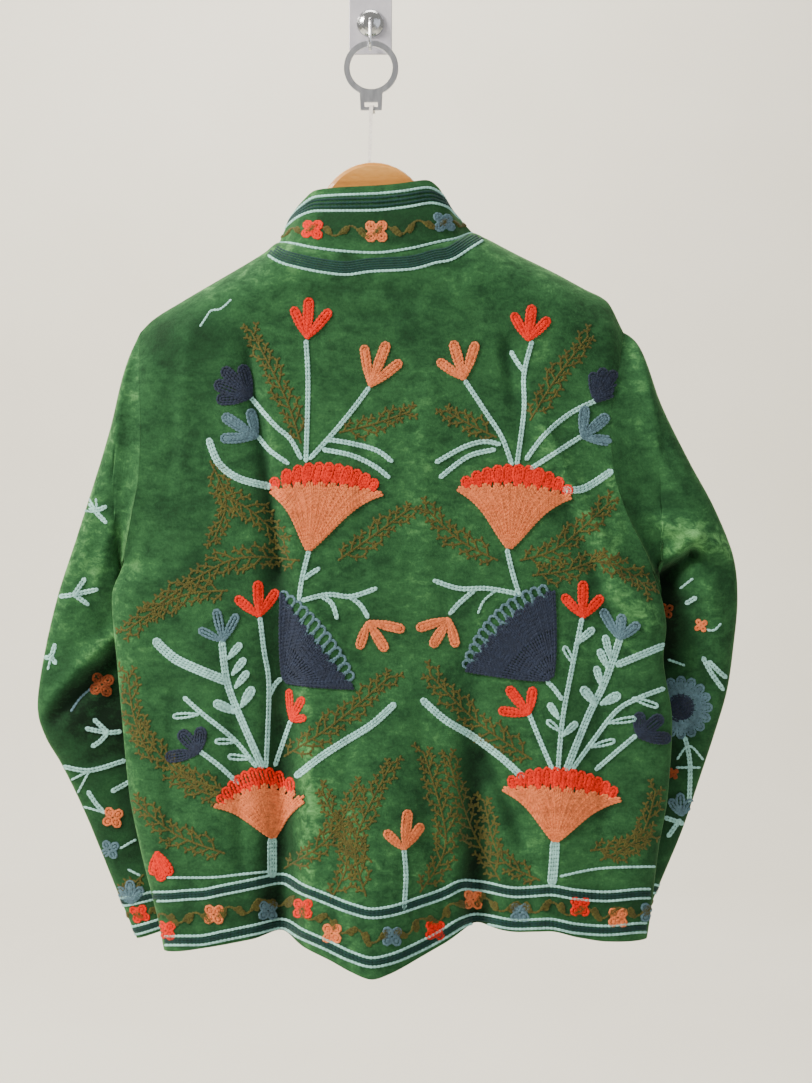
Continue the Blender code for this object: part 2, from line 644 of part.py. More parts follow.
def make_hanger(wood):
    ends = [CREST_X - HANGER_HALF_LENGTH, CREST_X + HANGER_HALF_LENGTH]
    crest_sides = [CREST_X - CREST_RADIUS - HANGER_CORNER_STEP, CREST_X + CREST_RADIUS + HANGER_CORNER_STEP]
    outline = [(x, arm_top(x)) for x in np.linspace(ends[0], crest_sides[0], ARM_STEPS)]
    outline += arc(CREST_X, CREST_Z, CREST_RADIUS, *CREST_ANGLES, CREST_STEPS)
    outline += [(x, arm_top(x)) for x in np.linspace(crest_sides[1], ends[1], ARM_STEPS)]
    middle = (arm_top(ends[1]) + arm_low(ends[1])) / 2
    outline += arc(ends[1] + HANGER_CORNER_STEP, middle, HANGER_END_RADIUS, *RIGHT_END_ANGLES, END_STEPS)
    low_ends = ends[1] - HANGER_CORNER_STEP, ends[0] + HANGER_CORNER_STEP
    outline += [(x, arm_low(x)) for x in np.linspace(*low_ends, 2 * ARM_STEPS)]
    middle = (arm_top(ends[0]) + arm_low(ends[0])) / 2
    outline += arc(ends[0] - HANGER_CORNER_STEP, middle, HANGER_END_RADIUS, *LEFT_END_ANGLES, END_STEPS)
    near = SHOULDER_SEAM_Y - HANGER_THICK / 2
    slab("hanger", outline, near, HANGER_THICK, HANGER_EDGE_ROUND, wood)


def make_wall_hook(plastic, chrome):
    half_wide, half_tall = PLATE_WIDE / 2 - PLATE_CORNER, PLATE_TALL / 2 - PLATE_CORNER
    outline = []
    for x, z, start in ((1, 1, 90), (1, -1, 0), (-1, -1, -90), (-1, 1, -180)):
        outline += arc(x * half_wide, z * half_tall, PLATE_CORNER, start, start - 90, PLATE_CORNER_STEPS)
    slab("wall_plate", outline, -PLATE_THICK, PLATE_THICK, PLATE_EDGE_ROUND, plastic)
    foot = -PLATE_THICK - SMALL_GAP
    rings, around = DOME_RINGS, DOME_AROUND
    points, faces = [(0, foot - DOME_HIGH, DOME_Z)], []
    for ring in range(1, rings + 1):
        lean = math.pi / 2 * ring / rings
        for i in range(around):
            turn = 2 * math.pi * i / around
            out = DOME_RADIUS * math.sin(lean)
            x, z = out * math.cos(turn), DOME_Z + out * math.sin(turn)
            points.append((x, foot - DOME_HIGH * math.cos(lean), z))
    for i in range(around):
        after = (i + 1) % around
        faces.append((0, 1 + i, 1 + after))
        for ring in range(rings - 1):
            low, high = 1 + ring * around, 1 + (ring + 1) * around
            faces.append((low + i, high + i, high + after, low + after))
    faces.append(tuple(1 + (rings - 1) * around + i for i in reversed(range(around))))
    smooth_shaded(new_object("hook_dome", points, faces, chrome), HARD_SHARP_FROM)
    start = (foot - DOME_HIGH - SMALL_GAP, DOME_Z)
    wire(chrome, (start,) + HOOK_ROUTE)


def wire(chrome, route):
    """The hook: a round wire along a route in y and z, bent without corners."""
    curve = bpy.data.curves.new("hook_wire", "CURVE")
    curve.dimensions = "3D"
    curve.bevel_depth = WIRE_THICK / 2 * MM
    curve.bevel_resolution = 2
    curve.use_fill_caps = True
    points = through([np.array((0.0, y, z)) for y, z in route], WIRE_POINTS)
    spline = curve.splines.new("POLY")
    spline.points.add(len(points) - 1)
    for held, point in zip(spline.points, points):
        held.co = (*(point * MM), 1.0)
    curve.materials.append(chrome)
    made = bpy.data.objects.new("hook_wire", curve)
    bpy.context.scene.collection.objects.link(made)


def cut(target, name, outline):
    """A hole through a slab, as a Boolean with a longer cutter."""
    thick = CUTTER_LONGER * RING_THICK
    cutter = slab(name, outline, RING_Y - thick / 2, thick, 0, target.data.materials[0])
    cutter.hide_render = True
    cutter.display_type = "WIRE"
    difference = target.modifiers.new(name, "BOOLEAN")
    difference.operation = "DIFFERENCE"
    difference.object = cutter


def make_ring(steel):
    meets = math.degrees(math.acos(TAB_HALF_TOP / RING_OUTER))
    outline = arc(RING_X, RING_Z, RING_OUTER, 180 + meets, -meets, RING_STEPS)
    outline += [(RING_X + TAB_HALF_LOW, TAB_LOW_Z), (RING_X - TAB_HALF_LOW, TAB_LOW_Z)]
    ring = slab("ring", outline, RING_Y - RING_THICK / 2, RING_THICK, 0, steel)
    cut(ring, "ring_hole", arc(RING_X, RING_Z, RING_INNER, 360, 360 / RING_STEPS, RING_STEPS - 1))
    left, right = RING_X - SLOT_HALF, RING_X + SLOT_HALF
    cut(ring, "ring_slot", [(left, SLOT_HIGH_Z), (right, SLOT_HIGH_Z), (right, SLOT_LOW_Z), (left, SLOT_LOW_Z)])


def make_strap(cotton):
    """A flat strap from behind the tab's bar, over it through the slot, and down to the crest of the hanger."""
    crest_top = (SHOULDER_SEAM_Y, CREST_Z + CREST_RADIUS + SMALL_GAP)
    route = through([np.array(p, float) for p in STRAP_ROUTE + (crest_top,)], STRAP_SECTIONS)
    points, faces = [], []
    for k, (y, z) in enumerate(route):
        ahead = route[min(k + 1, len(route) - 1)] - route[max(k - 1, 0)]
        if k == len(route) - 1:
            ahead = np.array((0.0, -1.0))
        off = np.array((ahead[1], -ahead[0])) / np.linalg.norm(ahead) * STRAP_THICK / 2
        share = k / (len(route) - 1)
        half = (STRAP_WIDE_TOP + (STRAP_WIDE_LOW - STRAP_WIDE_TOP) * share) / 2
        x = STRAP_TOP_X + (STRAP_LOW_X - STRAP_TOP_X) * share
        for side, face in ((-1, -1), (1, -1), (1, 1), (-1, 1)):
            points.append((x + side * half, y + face * off[0], z + face * off[1]))
        if k:
            low, high = 4 * (k - 1), 4 * k
            faces += [(low + i, low + (i + 1) % 4, high + (i + 1) % 4, high + i) for i in range(4)]
    last = 4 * (len(route) - 1)
    faces += [(3, 2, 1, 0), (last, last + 1, last + 2, last + 3)]
    new_object("strap", points, faces, cotton)


def clear_scene():
    """Takes out what the start-up file holds."""
    for thing in list(bpy.data.objects):
        bpy.data.objects.remove(thing, do_unlink=True)


def make_sleeves(velvet, panels):
    for side in ("left", "right"):
        rings = sleeve_grid(side, panels)
        mirrored = side == "right"
        normals = outward(rings, True) * (-1 if mirrored else 1)
        armpit = len(ARMHOLE_ROWS) - 1
        flatten(normals, (np.array([0]), np.array([armpit])), 0)
        kept = normals[0, armpit].copy()
        normals[0] = armhole_loop(side, panels, "normals")
        normals[0, armpit] = kept
        cloth_piece(f"sleeve_{side}", rings, rings - normals * CLOTH, True, velvet, mirrored)


def make_collar(velvet, panels):
    collar = collar_grid(panels)
    normals = -outward(collar, False)
    flatten(normals, (np.array([0]), np.arange(collar.shape[1])), 2)
    cloth_piece("collar", collar, collar - normals * CLOTH, False, velvet, True)


def main():
    clear_scene()
    velvet = material("velvet", (0.035, 0.13, 0.045), 0.9)
    panels = make_body(velvet)
    make_sleeves(velvet, panels)
    make_collar(velvet, panels)
    make_hanger(material("beech", (0.62, 0.33, 0.12), 0.45))
    chrome = material("chromed steel", (0.75, 0.76, 0.78), 0.15, 1.0)
    make_wall_hook(material("grey plastic", (0.42, 0.42, 0.46), 0.35), chrome)
    make_ring(material("brushed steel", (0.45, 0.46, 0.47), 0.4, 1.0))
    make_strap(material("white cotton", (0.75, 0.74, 0.7), 0.85))


main()
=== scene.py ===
"""Looks of a suzani jacket: green velvet with chain-stitch embroidery, hung back side out on a hanger.

Sizes are in millimetres and meshes are made in metres. The origin is the middle of the wall plate's back
face, -Y looks into the room at the jacket's back, and +Z is up. Embroidery is laid out on the plane
y = LAYOUT_Y as the camera's eye sees it, and each stitch is then set on the cloth behind its place there.
"""

import math
from functools import partial

import bpy
import numpy as np
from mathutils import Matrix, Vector
from mathutils.bvhtree import BVHTree


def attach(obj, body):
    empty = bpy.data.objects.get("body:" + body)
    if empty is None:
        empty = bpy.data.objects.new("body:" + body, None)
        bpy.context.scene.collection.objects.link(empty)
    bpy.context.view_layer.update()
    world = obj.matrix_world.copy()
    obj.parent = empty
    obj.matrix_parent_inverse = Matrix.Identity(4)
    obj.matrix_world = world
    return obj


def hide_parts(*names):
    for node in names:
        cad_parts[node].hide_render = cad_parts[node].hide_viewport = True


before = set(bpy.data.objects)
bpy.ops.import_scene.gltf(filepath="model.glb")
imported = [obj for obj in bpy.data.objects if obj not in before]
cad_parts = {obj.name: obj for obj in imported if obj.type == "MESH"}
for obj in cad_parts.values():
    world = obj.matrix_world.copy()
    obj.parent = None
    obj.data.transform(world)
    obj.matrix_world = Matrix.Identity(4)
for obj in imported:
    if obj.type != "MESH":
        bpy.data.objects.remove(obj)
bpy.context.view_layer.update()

MM = 0.001
TINY = 1e-9

# Camera: where it stands, and the long side's view
EYE = (38.0, -1610.0, -572.0)
SENSOR = 36.0
LENS = 49.86
CLIP_END = 100.0

# Plane on which motifs are laid out, and the one from which the wall side is seen
LAYOUT_Y = -110.0
WALL_SIDE_Y = 150.0

# Cloth thickness, the gaps between pieces, and where the centre front is
CLOTH = 2.2
SEAM_GAP = 0.1
ARMHOLE_GAP = 0.15
FRONT_GAP = 3.0
CENTRE_X = 5.0

# Heights of the armpits, and how far the armhole's edges stand off the line of the side seam
ARMPIT_Z = {"left": -593.0, "right": -606.0}
ARMHOLE_BACK = 27.0
ARMHOLE_FRONT = 17.0

# Side seams and armholes: where the body's left and right edges are at each height
EDGES = {
    "z": (-355, -400, -460, -500, -540, -595, -628, -660, -690, -757, -830, -890, -960, -992),
    "left": (-238, -235, -232, -233, -240, -253, -264, -262, -259, -253, -246, -234, -217, -211),
    "right": (264, 255, 246, 249, 261, 288, 300, 305, 302, 311, 307, 297, 289, 284),
}

# Depth of the side seam at each height
SEAM_DEPTH = {
    "z": (-355, -460, -595, -650, -900, -992),
    "y": (-52, -58, -66, -72, -70, -66),
}

# Back of the jacket along its top edge: shoulder seams outside, neckline between
BACK_TOP = {
    "x": (-238, -225, -194, -156, -109, -93, -77, -56, -25, 6, 38, 68, 90, 107, 119, 152, 193, 223, 246, 264),
    "z": (-355, -342, -323, -301, -273, -262, -268, -275, -280, -282, -278, -270, -263, -252, -257, -274,
          -294, -310, -322, -355),
    "y": (-52, -52, -52, -52, -52, -52, -75, -86, -91, -92, -91, -86, -75, -52, -52, -52, -52, -52, -52, -52),
}

# Front neckline from the left shoulder to the right one, meeting at the centre front
FRONT_NECK = {
    "x": (-93, -91.5, -89, -84, -70, -36, 5, 46, 84, 98, 103, 105.5, 107),
    "z": (-262, -263, -266, -276, -298, -322, -332, -320, -290, -266, -256, -253, -252),
    "y": (-52, -44.5, -40.5, -38, -35, -31, -29, -31, -35, -38, -40.5, -44.5, -52),
}

# Collar: its sections from the left front end round the back to the right front end
COLLAR = {
    "base_x": (3, -36, -70, -84, -90, -93, -77, -56, -25, 6, 38, 68, 90, 107, 104, 98, 84, 46, 7),
    "top_x": (0, -38, -72, -83, -86, -83, -69, -53, -28, 2, 36, 59, 72, 85, 94, 96, 88, 48, 8),
    "top_y": (-14, -10, -9, -14, -22, -38, -60, -71, -78, -80, -80, -75, -66, -40, -24, -15, -10, -10, -14),
    "top_z": (-284, -274, -258, -249, -241, -233, -220, -211, -210, -209, -206, -202, -208, -226, -231,
              -240, -252, -272, -284),
}

# Hem: the turns of its edge as it hangs
BACK_HEM = {
    "x": (-211, -175, -116, -88, -68, -40, -16, 5, 21, 50, 76, 97, 110, 151, 181, 211, 241, 284),
    "z": (-991, -985, -974, -969, -976, -985, -995, -1001, -997, -986, -975, -965, -962, -967, -966, -973,
          -978, -979),
}
FRONT_HEM = {
    "x": (-211, -160, -100, 5, 110, 180, 240, 284),
    "z": (-991, -978, -968, -965, -962, -964, -972, -979),
}

# How far the panels stand off from the wall between the seams
BACK_Y = -86.0
BACK_CROWN = 10.0
CROWN_HALF_WIDTH = 270.0
FRONT_STAND_OFF = {
    "z": (-262, -430, -560, -640, -992),
    "side": (-37, -38, -49, -52, -52),
    "middle": (-35, -36, -39, -41, -41),
}
FRONT_CENTRE_HALF_WIDTH = 95.0

# Roundings where a panel turns over to its neighbour
BACK_SIDE_ROUND = 34.0
FRONT_SIDE_ROUND = 24.0
ARMHOLE_ROUND = 75.0
ARMPIT_BLEND = 30.0
BACK_SHOULDER_ROUND = 62.0
FRONT_SHOULDER_ROUND = 28.0

# Sleeves, a row for each section below the armhole: outer edge, inner edge, half thickness
SLEEVE_COLUMNS = ("out_x", "out_y", "out_z", "in_x", "in_y", "in_z", "belly")
SLEEVE_SECTIONS = {
    "left": (
        (-252, -54, -389, -260, -46, -608, 27),
        (-267, -54, -451, -258, -36, -628, 25),
        (-286, -53, -513, -243, -30, -650, 22),
        (-305, -50, -570, -219, -28, -680, 20),
        (-325, -46, -629, -200, -24, -716, 18),
        (-340, -42, -690, -190, -22, -758, 17),
        (-348, -38, -744, -187, -21, -792, 17),
        (-341, -34, -776, -189, -21, -815, 16),
        (-324, -31, -807, -189, -21, -836, 15),
        (-303, -29, -851, -180, -21, -862, 14),
        (-284, -28, -897, -169, -21, -890, 14),
        (-265, -27, -945, -154, -21, -920, 14),
        (-246, -27, -990, -138, -21, -950, 14),
    ),
    "right": (
        (281, -54, -370, 302, -49, -621, 27),
        (301, -56, -428, 301, -40, -637, 27),
        (330, -58, -488, 299, -33, -652, 26),
        (357, -56, -537, 295, -28, -672, 23),
        (378, -50, -587, 290, -24, -698, 20),
        (384, -44, -631, 282, -22, -726, 18),
        (381, -39, -680, 273, -21, -750, 17),
        (375, -35, -728, 263, -21, -772, 16),
        (362, -32, -775, 250, -21, -796, 15),
        (346, -30, -825, 236, -21, -824, 14),
        (329, -29, -876, 221, -21, -856, 14),
        (308, -28, -927, 203, -21, -892, 14),
        (287, -27, -977, 184, -21, -931, 14),
    ),
}
SLEEVE_FULLNESS = 0.35

# Folds: half width, depth at the first and last point (positive dips toward the wall), route as (x, z)
BACK_FOLDS = (
    (15, 3, 6, ((-123, -378), (-114, -437), (-102, -511), (-92, -610))),
    (17, 5, 26, ((-92, -610), (-86, -735), (-87, -850), (-88, -985))),
    (15, 2, 25, ((102, -700), (107, -783), (110, -860), (110, -980))),
    (62, 0, -47, ((5, -690), (5, -820), (5, -1010))),
    (34, -2, -9, ((-42, -640), (-52, -800), (-52, -960))),
    (13, -3, -6, ((178, -454), (209, -520), (242, -572), (254, -625), (290, -655))),
    (12, 4, 3, ((196, -545), (228, -600), (246, -650))),
    (9, 4, 2, ((143, -375), (150, -427), (158, -470))),
    (11, 5, 4, ((118, -790), (134, -826), (150, -862))),
    (26, -5, -4, ((190, -700), (200, -840), (196, -960))),
    (24, -4, -4, ((-165, -680), (-160, -830), (-150, -960))),
    (12, -5, -3, ((250, -512), (254, -540), (262, -566))),
)
BACK_CREASES = (
    (6, 3.6, 5, ((-121, -381), (-119, -404), (-113, -439), (-109, -462), (-101, -512), (-90, -600))),
    (9, -2, -3, ((-104, -420), (-92, -500), (-70, -610))),
    (5, 3, 1.6, ((-56, -326), (-20, -341), (20, -345), (46, -333))),
    (4.5, 1.8, 0.6, ((22, -321), (51, -322), (80, -316))),
    (5, 1.6, 0.6, ((-30, -312), (12, -318), (40, -314))),
    (6, 2.6, 1.4, ((139, -378), (143, -410), (146, -430))),
    (5, -2, -3, ((162, -413), (177, -456), (184, -468), (207, -521), (226, -546), (240, -572))),
    (5, -2.5, -2.5, ((248, -511), (251, -538), (254, -563))),
    (7, 2, 2.6, ((190, -505), (214, -560), (236, -612))),
    (5, 1.5, 2.4, ((-226, -528), (-233, -552), (-250, -590))),
    (6, 1.6, 1.2, ((-205, -420), (-196, -470), (-206, -520))),
    (8, -1.6, -1.2, ((-180, -350), (-188, -420), (-190, -500))),
    (6, 2.6, 3, ((117, -788), (134, -824), (149, -858), (156, -880))),
    (5, 1.4, 1, ((214, -760), (232, -800), (246, -850))),
    (7, 1.8, 2.4, ((-140, -700), (-132, -800), (-128, -900))),
    (6, 1.2, 1.8, ((-196, -720), (-204, -800), (-200, -880))),
    (9, -2.4, -3, ((-64, -720), (-56, -830), (-62, -950))),
    (8, 1.8, 2, ((-20, -760), (-26, -860), (-34, -960))),
    (8, 1.5, 2.2, ((52, -740), (60, -850), (74, -950))),
    (9, -1.8, -2.6, ((84, -760), (90, -860), (92, -950))),
    (10, 1.5, 1.5, ((-8, -430), (-4, -520), (-10, -610))),
    (12, -1.6, -1.2, ((60, -420), (54, -540), (62, -640))),
    (7, -1.4, -1.8, ((170, -800), (176, -880), (172, -960))),
    (6, 1.2, 1.6, ((230, -700), (238, -780), (236, -880))),
    (5, -1.6, -1.2, ((262, -616), (282, -640), (298, -660))),
)
FRONT_FOLDS = (
    (22, 4, 7, ((-120, -520), (-112, -760), (-105, -960))),
    (20, -4, -6, ((-62, -560), (-58, -780), (-60, -955))),
    (22, 4, 7, ((130, -500), (122, -760), (118, -955))),
    (20, -4, -5, ((70, -580), (68, -790), (66, -955))),
)
FRONT_CREASES = (
    (8, 2, 2.5, ((-180, -420), (-170, -560), (-176, -700))),
    (7, -1.8, -1.2, ((-140, -380), (-128, -470), (-120, -560))),
    (9, 1.5, 2.5, ((-40, -420), (-34, -600), (-38, -800))),
    (8, -1.6, -2.2, ((44, -430), (38, -620), (42, -820))),
    (8, 2, 2.4, ((196, -430), (188, -580), (194, -720))),
    (7, -1.6, -1.2, ((152, -400), (140, -490), (136, -580))),
    (6, 1.4, 1, ((-210, -560), (-196, -610), (-180, -650))),
    (6, 1.4, 1, ((232, -570), (216, -620), (198, -660))),
)
SLEEVE_FOLDS = {
    "left": (
        (9, -5, -9, ((-337, -742), (-296, -700), (-260, -668))),
        (9, 8, 14, ((-330, -757), (-290, -716), (-252, -684))),
        (18, 2, 7, ((-300, -770), (-272, -740), (-246, -716))),
        (9, 4, 3, ((-290, -488), (-262, -497), (-240, -506))),
        (10, -5, -3, ((-262, -555), (-272, -590), (-284, -620))),
        (10, 4, 3, ((-300, -610), (-282, -640), (-270, -664))),
        (5, 2, 1.2, ((-241, -431), (-234, -448), (-230, -462))),
        (5, 4.2, 3.4, ((-258, -496), (-230, -506), (-206, -520), (-192, -520))),
        (5, -2, -2, ((-235, -528), (-234, -565), (-238, -581), (-255, -599), (-264, -613))),
        (5, -1.8, -1.4, ((-220, -539), (-234, -581), (-256, -620))),
        (5, 1.8, 1.4, ((-268, -583), (-252, -582), (-239, -579))),
        (6, -2, -1.2, ((-318, -650), (-300, -610), (-290, -560))),
        (6, 1.8, 1.4, ((-290, -800), (-262, -790), (-240, -800))),
        (7, -1.8, -1.4, ((-276, -860), (-240, -850), (-210, -862))),
        (6, 1.6, 1.2, ((-262, -910), (-230, -900), (-196, -912))),
    ),
    "right": (
        (12, -6, -9, ((292, -553), (326, -562), (354, -574), (372, -583))),
        (8, -7, -9, ((290, -603), (310, -588), (334, -568))),
        (8, 12, 15, ((292, -618), (314, -602), (334, -584))),
        (17, 16, 8, ((306, -612), (303, -645), (312, -696))),
        (5, 7, 3, ((334, -584), (352, -599), (376, -606))),
        (10, -5, -3, ((352, -620), (364, -650), (366, -690))),
        (10, 4, 3, ((275, -480), (300, -520), (318, -540))),
        (12, 4, 3, ((350, -720), (330, -765), (322, -800))),
        (5, -2.4, -2.6, ((283, -553), (298, -557), (320, -562), (336, -567), (361, -581))),
        (5, -2, -1.6, ((336, -567), (337, -578), (330, -586))),
        (6, 2.4, 2, ((316, -600), (330, -609), (347, -616), (364, -616))),
        (6, -2.2, -1.6, ((343, -614), (352, -641), (355, -681))),
        (5, 2, 1.6, ((300, -470), (314, -500), (330, -520))),
        (6, -1.8, -1.4, ((268, -430), (282, -470), (290, -510))),
        (6, 1.8, 1.4, ((270, -540), (290, -534), (310, -538))),
        (6, 1.8, 1.6, ((340, -760), (312, -790), (286, -800))),
        (7, -1.8, -1.4, ((330, -840), (296, -850), (262, -862))),
    ),
}

# Grids: coarse rows and columns as in the solids, and how many finer steps each of theirs is given here
ARMHOLE_ROWS = (0.0, 0.007, 0.025, 0.065, 0.14, 0.24, 0.36, 0.49, 0.62, 0.76, 0.9, 1.0)
ROWS_BELOW_ARMPIT = 15
EDGE_SHARES = (0.006, 0.018, 0.036, 0.06)
BACK_SHOULDER_STEPS = 8
BACK_NECK_STEPS = 14
FRONT_SHOULDER_STEPS = 4
FRONT_NECK_SHARES = (0.025, 0.08, 0.19, 0.37, 0.58, 0.79, 1.0)
FINER = {"back": (5, 5), "front_left": (5, 4), "front_right": (5, 4)}
SLEEVE_RINGS = 23
FINER_SLEEVE = 5
SLEEVE_FOLDS_FROM_RING = 3.0
# Rings of the sleeve head that are eased, so that no crease stands beside the armhole, and how often
EASED_RINGS = 15
EASED_TIMES = 10
FINER_COLLAR = 4
COLLAR_ROWS = 4
COLLAR_TURNS = (5, 13)
TURNED_ROWS = 4

# Chain stitch: one link's length, a row's width and height, and how far rows lie apart
LINK = 3.9
ROW_WIDE = 3.2
ROW_HIGH = 1.5
ROW_APART = 2.45
FINE_LINK = 3.1
FINE_ROW_WIDE = 3.0
FINE_ROW_HIGH = 0.9

# Embroidery threads, as sRGB hex
THREADS = {
    "red": "E32006",
    "coral": "DE7646",
    "pale": "9BD0CB",
    "slate": "557380",
    "navy": "262F42",
    "olive": "4C4A20",
    # Coral painted darker as shade, for the blossoms in the sleeves' shaded hollows
    "shaded_coral": "8A4423",
    "teal": "173A36",
}

# Stems on the back: rows side by side, route as (x, z), and the thread of one that isn't like the others
BACK_STEMS = (
    (2, ((-62, -371), (-60, -415), (-62, -492))),
    (2, ((1, -418), (-16, -441), (-37, -466), (-58, -489))),
    (2, ((-118, -427), (-93, -456), (-78, -469), (-67, -489))),
    (2, ((-110, -467), (-98, -481), (-80, -494))),
    (3, ((-159, -471), (-149, -494), (-129, -509), (-98, -517))),
    (2, ((-40, -470), (-16, -474), (9, -481), (24, -492))),
    (2, ((-45, -480), (-16, -486), (7, -497), (21, -508))),
    (2, ((164, -372), (156, -405), (156, -441), (149, -495))),
    (2, ((143, -382), (148, -391), (155, -401))),
    (2, ((97, -411), (118, -443), (134, -468), (144, -495))),
    (2, ((228, -431), (202, -444), (177, -465), (158, -490))),
    (2, ((213, -467), (188, -483), (163, -499))),
    (3, ((197, -520), (216, -519), (243, -502))),
    (2, ((68, -493), (95, -478), (116, -472), (132, -475))),
    (2, ((72, -508), (100, -487), (127, -480))),
    (2, ((-59, -581), (-66, -609), (-69, -630))),
    (2, ((-64, -609), (-57, -604), (-49, -599))),
    (2, ((-66, -631), (-40, -625), (-17, -627), (8, -619))),
    (2, ((-46, -627), (-36, -634), (-31, -649))),
    (2, ((-18, -627), (-7, -636), (0, -648))),
    (2, ((139, -580), (145, -605), (151, -624))),
    (2, ((153, -625), (120, -619), (91, -619), (66, -611))),
    (2, ((106, -621), (92, -633), (82, -644))),
    (1, ((128, -621), (116, -631), (110, -644))),
    (2, ((-108, -648), (-104, -681), (-99, -718), (-102, -797))),
    (2, ((-87, -709), (-93, -715), (-98, -725))),
    (3, ((-146, -673), (-141, -712), (-128, -747), (-106, -797))),
    (4, ((-212, -672), (-202, -682), (-190, -691), (-168, -701), (-143, -711))),
    (2, ((-184, -728), (-166, -744), (-134, -770), (-112, -797))),
    (2, ((-168, -782), (-148, -797), (-130, -814))),
    (2, ((-77, -751), (-85, -773), (-93, -796))),
    (3, ((-71, -806), (-48, -788), (-25, -773), (4, -755), (26, -735))),
    (4, ((-96, -870), (-96, -887), (-96, -905))),
    (2, ((214, -649), (205, -694), (195, -747), (190, -800))),
    (2, ((179, -712), (186, -719), (194, -730))),
    (3, ((252, -669), (237, -712), (220, -747), (199, -799))),
    (3, ((250, -695), (272, -686), (296, -676))),
    (2, ((296, -719), (272, -728), (249, -741), (226, -770), (205, -799))),
    (2, ((268, -766), (250, -781), (228, -800))),
    (2, ((161, -744), (172, -771), (184, -799))),
    (3, ((55, -731), (78, -751), (105, -767), (132, -787), (154, -807))),
    (4, ((187, -873), (186, -891), (184, -913))),
    (2, ((36, -880), (38, -907), (36, -939))),
    (1, ((-201, -908), (-158, -908), (-128, -905), (-99, -902))),
    (1, ((192, -907), (232, -899), (287, -897))),
)

# A loose thread left on the shoulder
LOOSE_THREAD = ((-168, -357), (-162, -348), (-157, -341), (-149, -340), (-143, -336), (-137, -330))

# Small leaves: foot and tip, with the leaf's width
BACK_LEAVES = (
    ((-139, -688), (-127, -674), 7), ((-135, -704), (-123, -689), 7), ((-132, -717), (-120, -702), 7),
    ((-126, -736), (-115, -718), 9), ((-131, -743), (-154, -733), 9), ((-171, -745), (-195, -747), 6),
    ((-133, -772), (-153, -772), 6), ((-118, -789), (-140, -787), 6),
    ((205, -693), (196, -677), 6), ((208, -674), (226, -659), 7), ((190, -748), (181, -734), 7),
    ((190, -760), (179, -751), 6), ((196, -765), (209, -753), 7), ((242, -688), (237, -666), 7),
    ((239, -697), (231, -680), 7), ((233, -715), (228, -697), 7), ((227, -734), (214, -718), 9),
    ((234, -734), (252, -725), 9), ((266, -729), (290, -737), 6), ((242, -753), (268, -749), 6),
    ((224, -777), (247, -771), 6),
)

# Tulips: thread, foot, the tips of their three or four petals, petal width
BACK_TULIPS = (
    ("red", (-61, -369), ((-75, -338), (-59, -329), (-38, -341)), 9),
    ("red", (160, -371), ((145, -344), (164, -336), (181, -349)), 9),
    ("coral", (2, -417), ((-4, -376), (19, -373), (33, -392)), 9),
    ("coral", (96, -410), ((70, -391), (85, -372), (108, -373)), 9),
    ("coral", (0, -652), ((-9, -679), (18, -681), (36, -660)), 9),
    ("coral", (81, -649), ((49, -659), (64, -677), (88, -677)), 9),
    ("red", (-109, -647), ((-132, -628), (-110, -612), (-91, -621)), 9),
    ("red", (215, -648), ((195, -626), (215, -612), (234, -627)), 9),
    ("slate", (-145, -672), ((-169, -660), (-152, -640), (-131, -645)), 8),
    ("slate", (251, -670), ((234, -640), (254, -645), (271, -654)), 9),
    ("slate", (-111, -468), ((-147, -469), (-145, -446), (-118, -440)), 10),
    ("slate", (214, -468), ((246, -472), (240, -446), (217, -437)), 10),
    ("navy", (-117, -428), ((-151, -430), (-153, -414), (-145, -399), (-126, -396)), 12),
    ("navy", (227, -432), ((225, -403), (236, -399), (247, -402), (253, -417)), 10),
    ("navy", (-169, -783), ((-202, -788), (-188, -762), (-167, -758)), 12),
    ("navy", (270, -767), ((272, -743), (294, -747), (302, -769)), 12),
    ("red", (-77, -751), ((-79, -720), (-65, -728), (-62, -748)), 7),
    ("red", (161, -745), ((131, -741), (140, -718), (165, -718)), 9),
    ("coral", (36, -880), ((17, -862), (40, -841), (54, -855)), 9),
    ("red", (-211, -882), ((-215, -905), (-206, -911), (-197, -905)), 10),
)

# Fans: cup thread, rim thread, foot, left tip, right tip, how high the crowns of cup and rim are above the
# tips, petals on the rim, whether they are open loops, where the rim starts and ends, and where it is highest
BACK_FANS = (
    ("coral", "red", (-60, -582), (-97, -522), (15, -525), 9, 31, 11, False, 0.0, 0.9, 0.42),
    ("coral", "red", (141, -580), (89, -520), (204, -528), 8, 29, 11, False, 0.06, 0.97, 0.52),
    ("coral", "red", (-95, -869), (-154, -837), (-63, -832), 19, 38, 10, False, 0.09, 0.93, 0.62),
    ("coral", "red", (187, -873), (135, -820), (253, -831), 6, 27, 13, False, 0.06, 0.93, 0.48),
    ("navy", "slate", (-84, -712), (-87, -623), (-14, -719), -3, 14, 13, True, 0.03, 0.91, 0.5),
    ("navy", "slate", (184, -710), (97, -701), (186, -621), 9, 24, 14, True, 0.04, 0.94, 0.55),
)

